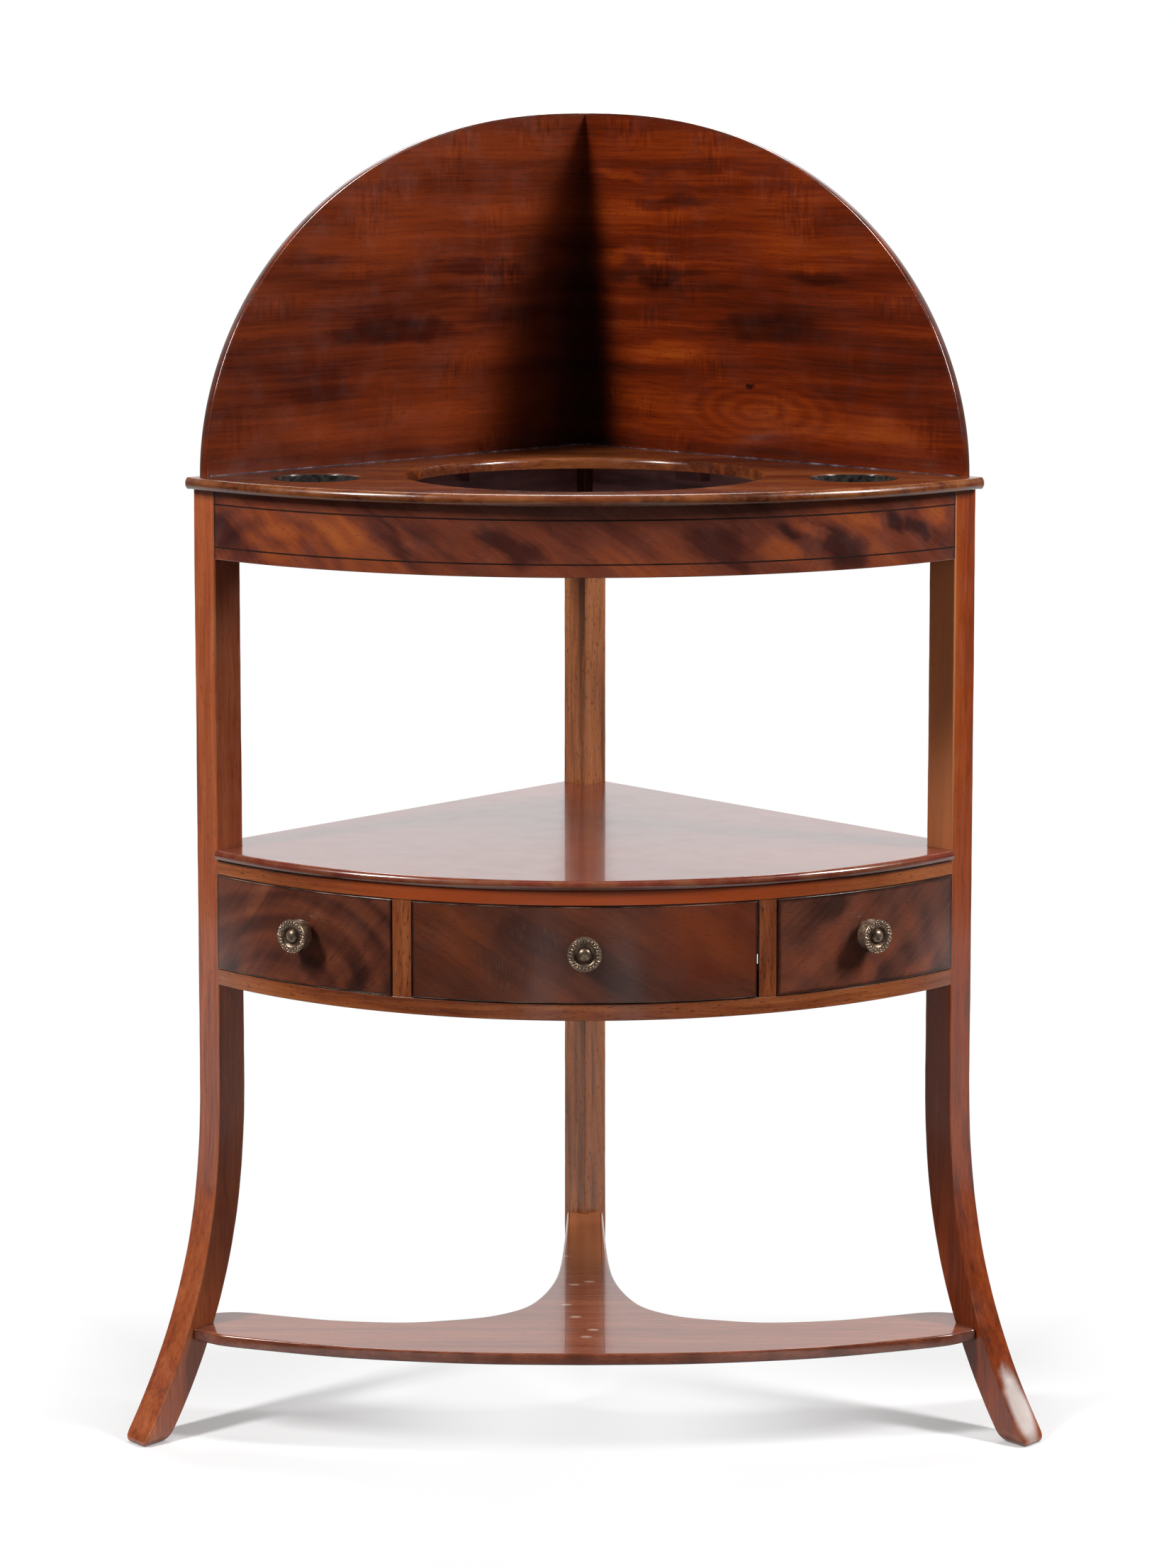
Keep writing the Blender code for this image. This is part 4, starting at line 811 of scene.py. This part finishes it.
def top_outline():
    """The board's plan: the bow's arc, a small arc at each tip, and the two walls."""
    right, left, back = wall_corners(top_radius)
    centre = np.array((0, bow_centre_y))
    tips = np.stack((left, right))
    spokes = unit(tips - centre)
    run = np.stack((-spokes[:, 1], spokes[:, 0]), axis=-1) * np.array(((1,), (-1,)))
    to_back = unit(back - tips)
    left_arc = corner_arcs(tips[:1], to_back[:1], run[:1], tip_round, 6)[0]
    right_arc = corner_arcs(tips[1:], run[1:], to_back[1:], tip_round, 6)[0]
    ends = [math.atan2(arc[0], bow_centre_y - arc[1]) for arc in (left_arc[-1], right_arc[0])]
    angle = np.linspace(*ends, 260)[1:-1]
    front = bow_point(top_radius, angle, 0)[:, :2]
    return np.concatenate((left_arc, front, right_arc, back[None]))


def hole_rings(centre, radius, lip, low, high, count, steps=6):
    """Outlines up a hole's wall. At turn t the wall stands back by lip times one less cosine t and
    rises by lip times sine t, so the upper edge rolls over onto the board. lip may differ by angle."""
    angle = np.linspace(0, 2 * math.pi, count, endpoint=False)
    lip = lip(angle) if callable(lip) else np.full(count, lip)
    turn = np.linspace(0, math.pi / 2, steps + 1)[:, None]
    reach = np.concatenate((
        np.full((1, count), radius), radius + lip * (1 - np.cos(turn)), (radius + lip + edge_hold)[None]))
    height = np.concatenate((
        np.full((1, count), low), high - lip + lip * np.sin(turn), np.full((1, count), high)))
    x = centre[0] + reach * np.cos(angle)
    y = centre[1] + reach * np.sin(angle)
    wear = np.zeros(reach.shape)
    wear[2:-1] = 0.2
    return np.stack((x, y, height), axis=-1), wear


def basin_edge(angle):
    """How far the basin hole's edge is rolled: all round but for a stretch behind on the right, where
    it has split off and been left square, in metres by angle."""
    degrees = np.degrees(angle)
    return np.interp(degrees, (0, 3, 6, 51, 53, 360), (1, 1, 0.2, 0.2, 1, 1)) * basin_lip


def pierced_board(name, outer, outer_wear, holes, material, slot, **hung):
    """A board from a stack of outlines up its edge and a stack up each hole's wall, filled flat between
    their first outlines and between their last ones."""
    vertices = []
    faces = []
    wear = []
    start = 0
    for number, (rings, ring_wear) in enumerate([(outer, outer_wear)] + holes):
        sides = stack_faces(*rings.shape[:2])
        flat = rings.reshape(-1, 3)
        outward = enclosed(flat - flat.mean(axis=0), sides) > 0
        if outward != (number == 0):
            sides = sides[:, ::-1]
        vertices.append(flat)
        faces += (sides + start).tolist()
        wear.append(np.ravel(ring_wear))
        start += len(flat)
    mesh = bpy.data.meshes.new(name)
    mesh.from_pydata(np.concatenate(vertices), [], faces)
    work = bmesh.new()
    work.from_mesh(mesh)
    rim = [edge for edge in work.edges if edge.is_boundary]
    middle = (outer[0, 0, 2] + outer[-1, 0, 2]) / 2
    for above in (True, False):
        loop = [edge for edge in rim if (edge.verts[0].co.z > middle) == above]
        bmesh.ops.triangle_fill(work, use_beauty=True, use_dissolve=False, edges=loop)
    bmesh.ops.recalc_face_normals(work, faces=work.faces)
    work.to_mesh(mesh)
    work.free()
    finish_piece(name, mesh, board_grain, np.concatenate(wear), material, slot, **hung)


outline = top_outline()
# The nose is rounded through the board's full thickness, the edges by the walls only eased, and the one
# passes into the other within 4 mm
eased = 0.0006
change = 0.004
distance = np.linalg.norm(outline - np.array((0, bow_centre_y)), axis=1)
nose = np.clip((distance - top_radius + change) / change, 0, 1)
half_top = (top_high - top_low) / 2 - face_left
pull = inward(outline) * (eased + (half_top - eased) * nose)[:, None]
outer, outer_wear = edge_rings(outline, pull, top_low, top_high, 7)
holes = [hole_rings((0, basin_hole_y), basin_hole_radius, basin_edge, top_low, top_high, 480)]
for side in (-1, 1):
    holes.append(hole_rings((side * cup_x, cup_y), cup_hole_radius, cup_hole_lip, top_low, top_high, 96, 3))
pierced_board("top_board", outer, outer_wear, holes, top_wood, "top_mahogany", offset=top_offset)
print("top board vertices", pieces_made["top_board"])

# %% [markdown]
# ## Splashboards
#
# Two thin arched boards stand on the top board against the walls and are mitred in the corner. The arch
# is a quarter of a super-ellipse. Its outline is carried through the board's thickness with the upper
# edge rounded, and squeezed a little at each depth so that its inner end follows the mitre.

# %% Splashboards
into_joint = 0.0001
splash_base = top_high - into_joint
splash_height = 0.295
splash_reach = bow_radius + leg_side - 0.006
arch_side_power = 2.35
arch_top_power = 1.955
splash_round = 0.0016


def arch():
    """The arch over the base: reach times cosine t to one power, height times sine t to another."""
    turn = np.linspace(0, math.pi / 2, 481)
    along = splash_reach * np.clip(np.cos(turn), 0, 1) ** (2 / arch_side_power)
    rise = splash_height * np.sin(turn) ** (2 / arch_top_power)
    along[-1] = 0
    return np.stack((along, rise), axis=-1)


def splashboard(side, name, material):
    """The arch and the inner lower corner, carried through the board, on a mitred inner end."""
    curve = arch()
    run = unit(np.gradient(curve, axis=0))
    way_in = np.stack((-run[:, 1], run[:, 0]), axis=-1)
    way_in[0] = (-1, 0)
    way_in[-1] = (0, -1)
    outline = np.concatenate((curve, np.zeros((1, 2))))
    pull = np.concatenate((way_in * splash_round, np.full((1, 2), 1e-9)))
    turn = np.linspace(0, math.pi / 2, 6)
    drawn = np.concatenate(([1 + edge_hold / splash_round], 1 - np.sin(turn)))
    depth = np.concatenate(([0], splash_round * (1 - np.cos(turn))))
    drawn = np.concatenate((drawn, drawn[::-1]))
    depth = np.concatenate((depth, splash_thickness - depth[::-1]))
    flat = outline + pull * drawn[:, None, None]
    inner_end = depth[:, None] - into_joint
    along = inner_end + flat[..., 0] * (splash_reach - inner_end) / splash_reach
    rings = wall_point(side, along, depth[:, None], splash_base + np.maximum(flat[..., 1], 0))
    wear = np.ones(rings.shape[:2])
    wear[[0, -1]] = 0
    wear[:, -1] = 0
    stacked_piece(name, rings, wall_grain(side), wear, material, "splash_mahogany",
                  offset=(0, -splash_base, 0))


splashboard(-1, "left_splashboard", splash_left)
splashboard(1, "right_splashboard", splash_right)

# %% Wax and dust in the joint below the splashboards
wax_size = 0.0006
wax_wander = 0.0002


def wax_line(side, name):
    """A small uneven round carried along the joint; its height and depth wander along the wall."""
    along = np.linspace(0.012, splash_reach - 0.004, 160)[:, None]
    turn = np.linspace(0, 2 * math.pi, 10, endpoint=False)
    size = wax_size + wax_wander * wander(along[:, 0], 40 + side, finest=60.0)[:, None]
    inward_place = splash_thickness + 0.0002 + size * np.cos(turn)
    height = top_high + 0.0001 + size * np.sin(turn)
    rings = wall_point(side, along, inward_place, height)
    stacked_piece(name, rings, wall_grain(side), 0.0, joint_wax, "dark_inside")


wax_line(-1, "left_joint_wax")
wax_line(1, "right_joint_wax")

# %% [markdown]
# ## Soap cups
#
# Two shallow turned cups drop into the small holes. Each is a thin wall turned about its own axis, in a
# near-black japanned finish that shows the light as bright upright bands.

# %% Turn a profile about an axis
def turned_piece(name, profile, centre, turns, material, slot, wear=0.0, tilt=None, relief=None, **hung):
    """A profile of (distance from the axis, height) carried round its axis: x and y are the distance
    times cosine and sine of the turn. Both ends of the profile lie on the axis or meet, so it closes."""
    angle = np.linspace(0, 2 * math.pi, turns, endpoint=False)[None, :]
    reach = np.broadcast_to(profile[:, :1], (len(profile), turns))
    rise = np.broadcast_to(profile[:, 1:], (len(profile), turns))
    if relief is not None:
        rise = rise + relief(reach, angle)
    rings = np.stack((reach * np.cos(angle), reach * np.sin(angle), rise), axis=-1)
    if tilt is not None:
        rings = rings @ np.asarray(tilt)
    rings = rings + np.asarray(centre)
    stacked_piece(name, rings, board_grain, np.reshape(wear, (-1, 1)), material, slot, **hung)


# %% Cups
cup_wall = 0.0015
cup_depth = 0.024
cup_below_top = 0.0005
inner_bend = 0.0055
outer_bend = 0.007
# A profile ends this near its axis, so that no hole shows
on_axis = 0.00001


def profile_arc(across, up, radius, first, last):
    """Seven points of an arc about a centre, between two turns counted from straight outwards."""
    turn = np.linspace(first, last, 7)
    return np.stack((across + radius * np.cos(turn), up + radius * np.sin(turn)), axis=-1)


def cup_profile():
    """From the middle of the floor up the inside, over a small rolled rim and down the outside."""
    outer = cup_hole_radius - gap
    rim = top_high - cup_below_top
    base = rim - cup_depth
    floor_level = base + cup_wall
    down = -math.pi / 2
    half_wall = cup_wall / 2
    inside = profile_arc(outer - cup_wall - inner_bend, floor_level + inner_bend, inner_bend, down, 0)
    rolled = profile_arc(outer - half_wall, rim - half_wall, half_wall, math.pi, 0)
    outside = profile_arc(outer - outer_bend, base + outer_bend, outer_bend, 0, down)
    return np.concatenate((((on_axis, floor_level),), inside, rolled, outside, ((on_axis, base),)))


for side, cup in ((-1, "left_soap_cup"), (1, "right_soap_cup")):
    turned_piece(cup, cup_profile(), (side * cup_x, cup_y, 0), 96, cup_japan, "dark_cup")

# %% [markdown]
# ## Drawer bay
#
# Two short uprights part the drawer from the dummy fronts. The fronts themselves are solid wood in the
# CAD model, with their dovetails and bores, and stay as they are. Each gets the thin sheet of figured
# veneer that the maker glued to its face, under a millimetre thick and laid round the bow.

# %% Uprights beside the drawer
drawer_low, drawer_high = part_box("drawer_front")
upright_depth = 0.018
upright_levels = 24
drawer_shift = 0.0010
for side, upright in ((-1, "left_muntin"), (1, "right_muntin")):
    low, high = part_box(upright)
    near, far = sorted((low.x, high.x))
    if side < 0:
        # The drawer sits a little to the left in its opening
        far += drawer_shift
    sides = np.array((near, far))
    face = bow_centre_y - np.sqrt(bow_radius ** 2 - sides ** 2)
    back = bow_centre_y - np.sqrt((bow_radius - upright_depth) ** 2 - sides ** 2)
    corners = ((near, face[0]), (far, face[1]), (far, back[1]), (near, back[0]))
    outline, wear = rounded_outline(corners, plain_arris)
    heights = np.linspace(low.z, high.z, upright_levels)[:, None]
    rings = np.stack(np.broadcast_arrays(outline[:, 0], outline[:, 1], heights), axis=-1)
    stacked_piece(upright, rings, upright_grain(side), wear, muntin_wood, "rail_mahogany",
                  offset=(0.7, side * 0.9, 0))

# %% Veneer on the drawer front and the dummy fronts
veneer_radii = (bow_radius + 0.00005, bow_radius + 0.0009)
veneer_margin = 0.0002
veneer_arris = 0.0004
drawer_angle = math.asin((drawer_high.x - gap) / bow_radius)
drawer_levels = (drawer_low.z + veneer_margin, drawer_high.z - veneer_margin)
bow_strip("drawer_veneer_sheet", veneer_radii, drawer_levels, (-drawer_angle, drawer_angle), drawer_sheet,
          "drawer_veneer", veneer_arris, 90, body="drawer", offset=(0.9, 0, 0))
for side, front, sheet in ((-1, "left_false_drawer_front", left_sheet),
                           (1, "right_false_drawer_front", right_sheet)):
    low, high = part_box(front)
    near = math.asin((min(abs(low.x), abs(high.x)) + veneer_margin) / bow_radius)
    angles = sorted((side * near, side * (quarter - gap / bow_radius)))
    name = front.replace("_drawer_front", "_front_veneer")
    bow_strip(name, veneer_radii, (low.z + veneer_margin, high.z - veneer_margin), angles, sheet,
              "drawer_veneer", veneer_arris, 50, offset=(side * 0.5, 0, 0.3))

# %% [markdown]
# ## Middle shelf
#
# A thin board notched round the three legs, with a rounded nose that stands a little proud of the
# fronts. Its outline is carried through its thickness like the top's.

# %% Middle shelf
shelf_low, shelf_high = levels("middle_shelf")
shelf_radius = bow_radius + 0.0035
nose_points = 241
notch_round = 0.0002
wall_margin = 0.0004


def shelf_outline():
    """The plan from the left leg's inner face round the bow to the right one, then round the notches.
    Also the way in at each point, times the radius of its edge."""
    reach = leg_side + gap
    end = math.asin((shelf_radius / root_two - gap / root_two) / shelf_radius)
    angle = np.linspace(-end, end, nose_points)
    front = bow_point(shelf_radius, angle, 0)[:, :2]
    way = -np.stack((np.sin(angle), -np.cos(angle)), axis=-1)
    right = [wall_point(1, bow_radius - gap, reach, 0), wall_point(1, bow_radius - gap, wall_margin, 0),
             wall_point(1, reach, wall_margin, 0), wall_point(1, reach, reach, 0)]
    left = [point * (-1, 1, 1) for point in right[2::-1]]
    rest = np.array(right + left)[:, :2]
    outline = np.concatenate((front, rest))
    half = (shelf_high - shelf_low) / 2 - face_left
    return outline, np.concatenate((way * half, inward(outline)[nose_points:] * notch_round))


outline, pull = shelf_outline()
rings, wear = edge_rings(outline, pull, shelf_low, shelf_high, 6)
wear[:, nose_points:] = 0
stacked_piece("middle_shelf", rings, board_grain, wear, shelf_wood, "shelf_mahogany", offset=(1.3, 0.2, 0))

# %% [markdown]
# ## Platform
#
# A three-armed board near the floor ties the legs together: two broad arms to the front legs and a thin
# neck to the back leg. Its outline is a soft curve through a few measured points, with its edges eased.

# %% Platform
platform_low, platform_high = levels("platform")
platform_round = 0.0016
half_spacing = bow_radius / root_two
plan_shift = half_spacing - leg_side / root_two - bow_centre_y
rear_shares = np.array((
    (0.0487, 0.975), (0.057, 0.64), (0.0671, 0.41), (0.0836, 0.27), (0.1167, 0.137),
    (0.1609, 0.045), (0.2408, -0.022), (0.3373, -0.054), (0.4624, -0.075), (0.6342, -0.057),
    (0.7721, -0.017), (0.8668, 0.012), (0.9256, 0.012), (0.9817, -0.012)))
front_shares = np.array((
    (0.9817, -0.138), (0.9514, -0.158), (0.8999, -0.19), (0.7537, -0.24), (0.5956, -0.285),
    (0.4247, -0.316), (0.2298, -0.338), (0, -0.345)))


def soft_curve(points, steps):
    """A curve through given points. Between two of them it weighs those and their two neighbours by
    cubics of the share of the way, so that the direction never jumps."""
    padded = np.concatenate((points[:1], points, points[-1:]))
    part = np.linspace(0, 1, steps, endpoint=False)[:, None]
    weights = np.concatenate((
        -part / 2 + part ** 2 - part ** 3 / 2, 1 - 5 * part ** 2 / 2 + 3 * part ** 3 / 2,
        part / 2 + 2 * part ** 2 - 3 * part ** 3 / 2, -part ** 2 / 2 + part ** 3 / 2), axis=1)
    windows = np.stack((padded[:-3], padded[1:-2], padded[2:-1], padded[3:]), axis=1)
    curve = np.einsum("sw,nwc->nsc", weights, windows).reshape(-1, 2)
    return np.concatenate((curve, points[-1:]))


def platform_outline():
    """The rear edge from the left tip past the neck to the right tip, then the front edge back again,
    read off at the same places from left to right."""
    reach = (bow_radius + sweep((platform_low + platform_high) / 2)) / root_two
    scale = np.array((reach, half_spacing))
    right = soft_curve(rear_shares * scale, 8)
    neck = np.linspace(-right[0, 0], right[0, 0], 6)[1:-1, None] * (1, 0) + right[0] * (0, 1)
    rear = np.concatenate((right[::-1] * (-1, 1), neck, right))
    front = soft_curve(front_shares * scale, 16)[::-1]
    level = np.interp(np.abs(rear[:, 0]), front[:, 0], front[:, 1])
    front = np.stack((rear[:, 0], level), axis=-1)[::-1]
    outline = np.concatenate((rear, front))
    outline[:, 1] -= plan_shift
    return outline


outline = platform_outline()
rings, wear = edge_rings(outline, inward(outline) * platform_round, platform_low, platform_high, 4)
stacked_piece("platform", rings, board_grain, wear, platform_wood, "shelf_mahogany", strip=True,
              offset=platform_offset)
print("boards made", len(pieces_made))

# %% [markdown]
# ## Brass knobs
#
# Cast knobs with a domed boss in a dished face and a ring of small leaves round it, on a drum that
# tapers to the wood. The profile is turned about the knob's axis, and the leaves are a relief on the
# face: short ridges that lean with the turn, raised only between the dish and the rim.

# %% Knobs
knob_profile = np.array((
    (on_axis, 0.0200), (0.0012, 0.01993), (0.0024, 0.01970), (0.0036, 0.01925), (0.0046, 0.01850),
    (0.0053, 0.01755), (0.0056, 0.01690), (0.0060, 0.01675), (0.0066, 0.01690), (0.0074, 0.01715),
    (0.0084, 0.01760), (0.0090, 0.01800), (0.0093, 0.01840), (0.0096, 0.01830), (0.0099, 0.01835),
    (0.0102, 0.01840), (0.0105, 0.01845), (0.0108, 0.01850), (0.0111, 0.01853), (0.0114, 0.01855),
    (0.0117, 0.01855), (0.0120, 0.01852), (0.0123, 0.01848), (0.0126, 0.01842), (0.0129, 0.01845),
    (0.0132, 0.01850), (0.0134, 0.01820), (0.0135, 0.01770), (0.0134, 0.01710), (0.0130, 0.01670),
    (0.0121, 0.01640), (0.0116, 0.01600), (0.0116, 0.01540), (0.0118, 0.01380), (0.0121, 0.01100),
    (0.0123, 0.00850), (0.0124, 0.00720), (0.0123, 0.00660), (0.0119, 0.00620), (0.0106, 0.00540),
    (0.0093, 0.00430), (0.0085, 0.00260), (0.0083, 0.00120), (0.0084, 0.00030), (0.0080, 0.0),
    (0.0024, -0.0001), (0.0024, -0.0216), (on_axis, -0.0216)))


leaf_middle = 0.0113
leaf_half_width = 0.0019
leaf_height = 0.00042


def leaf_ring(reach, angle):
    """Small leaves: a ridge height that falls off towards the dish and the rim, times the sum of two
    leaning waves round the ring."""
    out = reach - leaf_middle
    band = np.clip(1 - np.abs(out) / leaf_half_width, 0, 1) ** 0.6
    lean = out * 900
    leaves = np.sin(26 * angle + lean) + 0.7 * np.sin(39 * angle - 1.6 * lean + 1.0)
    return leaf_height * band * leaves


knob_height = sum(levels("middle_knob")) / 2
for knob, degrees in (("left_knob", -32), ("middle_knob", 0), ("right_knob", 32)):
    angle = math.radians(degrees)
    seat = bow_point(bow_radius + gap, angle, knob_height)
    outwards = np.array((math.sin(angle), -math.cos(angle), 0))
    sideways = np.array((math.cos(angle), math.sin(angle), 0))
    upward = np.array((0, 0, 1))
    shine = np.interp(knob_profile[:, 0], (0, 0.005, 0.006, 0.009, 0.0135), (0.5, 0.3, 0.1, 0.3, 0.5))
    body = "drawer" if knob == "middle_knob" else "stand"
    turned_piece(knob, knob_profile, seat, 260, brass, "old_brass", wear=shine, body=body,
                 tilt=(sideways, upward, outwards), relief=leaf_ring)

# %% [markdown]
# ## Finishes for the nodes that stay
#
# The hidden carcass is the model's own: pine runners and blocks, dark-stained wall rails and boards,
# iron screws and brass nuts. Their shapes are right, so they only need their finishes, which read
# Object coordinates because these meshes carry no grain map.

# %% Pine, stained boards, iron
def plain_wood(name, tones, pace, rough_low, spots):
    """Unpolished wood, or iron, with three tones and darker spots."""
    return plain_finish(name, tuple(zip((0.3, 0.5, 0.7), tones)), pace, 4.0, (rough_low, 0.85),
                        (0.3, 0.0005), {"IOR": 1.5}, spots=spots)


# Pine grain runs from left to right, and from front to back in the pieces that the drawer slides along
pine_tones = ("#6A482A", "#8A6238", "#A27A4C")
pine = plain_wood("bare_pine_darkened_by_age", pine_tones, (5, 90, 90), 0.55, 0.25)
deep_pine = plain_wood("bare_pine_front_to_back", pine_tones, (90, 5, 90), 0.55, 0.25)
stained = plain_wood("stained_mahogany_inside", ("#46292A", "#74504E", "#9C7672"), (9, 9, 60), 0.45, 0.4)
solid_front = plain_wood("solid_mahogany_ground", ("#3A1B10", "#5C2E1A", "#7A4428"), (9, 60, 90), 0.45, 0.4)
iron = plain_wood("oxidised_iron_screws", ("#201B18", "#3A322C", "#54483E"), (300, 300, 300), 0.5, 0.5)
# The right top rail, seen inside through the basin hole, takes a paler copy of the stained finish: painted
# light, as from a lamp shining in through the hole
painted_light_inside = plain_wood("paler_stained_mahogany_painted_light", ("#5A3C3E", "#9C7674", "#C8A49E"), (9, 9, 60), 0.45, 0.5)
kept_finishes = (
    ("knob_nut", brass), ("splash_screw", iron), ("drawer_front", solid_front), ("side_board", stained),
    ("right_top_rail", painted_light_inside), ("top_rail", stained), ("drawer_left_side", deep_pine),
    ("drawer_right_side", deep_pine), ("left_runner", deep_pine), ("right_runner", deep_pine),
    ("kicker", deep_pine), ("guide_block", deep_pine), ("frieze_block", stained), ("rail_block", stained))
kept = [name for name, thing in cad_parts.items() if not thing.hide_render]
for name in kept:
    finish = [made for word, made in kept_finishes if word in name] or [pine]
    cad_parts[name].data.materials.clear()
    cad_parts[name].data.materials.append(finish[0])
print("kept nodes", len(kept))

# %% [markdown]
# ## Floor, light and background
#
# A pale studio: a floor that shows white to the camera but keeps the object's soft shadow, two tall
# narrow lamps at the front left and right, a weak one overhead and a broad soft one behind. The world is
# white where the camera and the reflections of the boards look to the back, and darker to the front, as
# in a dark studio with a white backdrop.

# %% Floor
floor_paint, add = new_finish("white_painted_floor")
place = add("TexCoord", out="Object")
noise = add("TexNoise", {"Vector": place, "Scale": 3.0, "Detail": 2.0})
tone = add("ValToRGB", {"Fac": noise}, ((0.3, "#EEEEEE"), (0.7, "#F4F4F4")))
paths = add("LightPath", out=None)
# The studio's floor was black beyond the paper, so little light came up from below
tone = add("Mix", {0: paths["Is Diffuse Ray"], 6: tone, 7: colour("#7C7C7C")}, data_type="RGBA", out=2)
matt = add("BsdfDiffuse", {"Color": tone})
spot = add("SeparateXYZ", {0: place}, out=None)
behind = add("MapRange", {"Value": spot[1], "From Min": -0.45, "From Max": 0.1})
shiny = add("Math", {0: paths["Is Glossy Ray"], 1: paths["Is Transmission Ray"]}, operation="MAXIMUM")
shiny = add("Math", {0: shiny, 1: behind}, operation="MULTIPLY")
seen = add("Math", {0: paths["Is Camera Ray"], 1: shiny}, operation="MAXIMUM")
glow = add("Emission", {"Color": (1, 1, 1, 1), "Strength": seen})
# The shadow ends soon beyond the feet and behind, and is deeper by the feet than under the middle
apart = add("Math", {0: spot[0]}, operation="ABSOLUTE")
far = add("MapRange", {"Value": apart, "From Min": 0.36, "From Max": 0.46})
back = add("MapRange", {"Value": spot[1], "From Min": 0.06, "From Max": 0.20})
far = add("Math", {0: far, 1: back}, operation="MAXIMUM")
limits = {"Value": apart, "From Min": 0.05, "From Max": 0.32, "To Min": 0.84, "To Max": 0.10}
share = add("MapRange", limits, interpolation_type="SMOOTHSTEP")
share = add("Math", {0: share, 1: far}, operation="MAXIMUM")
surface = add("MixShader", {0: share, 1: matt, 2: glow})
add("OutputMaterial", {"Surface": surface}, out=None)
floor_radius = 2.2
floor_level = cad_low.z - 0.0005
turn = np.linspace(0, 2 * math.pi, 96, endpoint=False)
rim = np.stack((np.cos(turn), np.sin(turn), np.zeros(96)), axis=-1) * floor_radius + (0, 0, floor_level)
floor_mesh = bpy.data.meshes.new("floor")
floor_mesh.from_pydata(rim, [], [list(range(96))])
floor_mesh.materials.append(floor_paint)
floor = bpy.data.objects.new("floor", floor_mesh)
bpy.context.scene.collection.objects.link(floor)

# %% Lamps and world
def soft_lamp(name, location, size, power):
    """A large soft lamp that faces the middle of the washstand."""
    data = bpy.data.lights.new(name, "AREA")
    data.shape = "RECTANGLE"
    data.size, data.size_y = size
    data.energy = power
    lamp = bpy.data.objects.new(name, data)
    lamp.location = location
    aim = np.array((0, 0, 0.6)) - np.array(location)
    lamp.rotation_euler = (math.atan2(np.hypot(*aim[:2]), -aim[2]), 0, math.atan2(-aim[0], aim[1]))
    bpy.context.scene.collection.objects.link(lamp)


soft_lamp("right_softbox", (2.35, -0.90, 2.40), (0.40, 1.1), 84)
soft_lamp("left_softbox", (-2.09, -1.35, 2.56), (0.35, 1.1), 86)
soft_lamp("overhead_softbox", (0.0, -0.2, 3.2), (1.6, 1.6), 4)
soft_lamp("back_softbox", (0.0, 2.3, 3.0), (1.6, 1.2), 60)

world = bpy.data.worlds.new("pale_studio")
world.use_nodes = True
world.node_tree.nodes.clear()
add = functools.partial(add_node, world.node_tree)
direction = add("TexCoord", out="Generated")
parts = add("SeparateXYZ", {0: direction}, out=None)
limits = {"Value": parts[1], "From Min": 0.12, "From Max": 0.60, "To Min": 0.02, "To Max": 1.0}
backdrop = add("MapRange", limits, interpolation_type="SMOOTHSTEP")
# The backdrop was not high: above it the studio was dark
limits = {"Value": parts[2], "From Min": 0.42, "From Max": 0.62, "To Min": 1.0, "To Max": 0.03}
high_up = add("MapRange", limits, interpolation_type="SMOOTHSTEP")
backdrop = add("Math", {0: backdrop, 1: high_up}, operation="MULTIPLY")
paths = add("LightPath", out=None)
shiny = add("Math", {0: paths["Is Glossy Ray"], 1: paths["Is Transmission Ray"]}, operation="MAXIMUM")
# Pale walls behind the camera fill the shadows a little from the front
limits = {"Value": parts[1], "From Min": -0.3, "From Max": -0.9, "To Min": 0.04, "To Max": 0.34}
soft = add("MapRange", limits, interpolation_type="SMOOTHSTEP")
strength = add("Mix", {0: shiny, 2: soft, 3: backdrop}, data_type="FLOAT")
strength = add("Mix", {0: paths["Is Camera Ray"], 2: strength, 3: 1.0}, data_type="FLOAT")
background = add("Background", {"Color": (1, 1, 1, 1), "Strength": strength})
add("OutputWorld", {"Surface": background}, out=None)
bpy.context.scene.world = world
bpy.context.scene.view_settings.view_transform = "Standard"
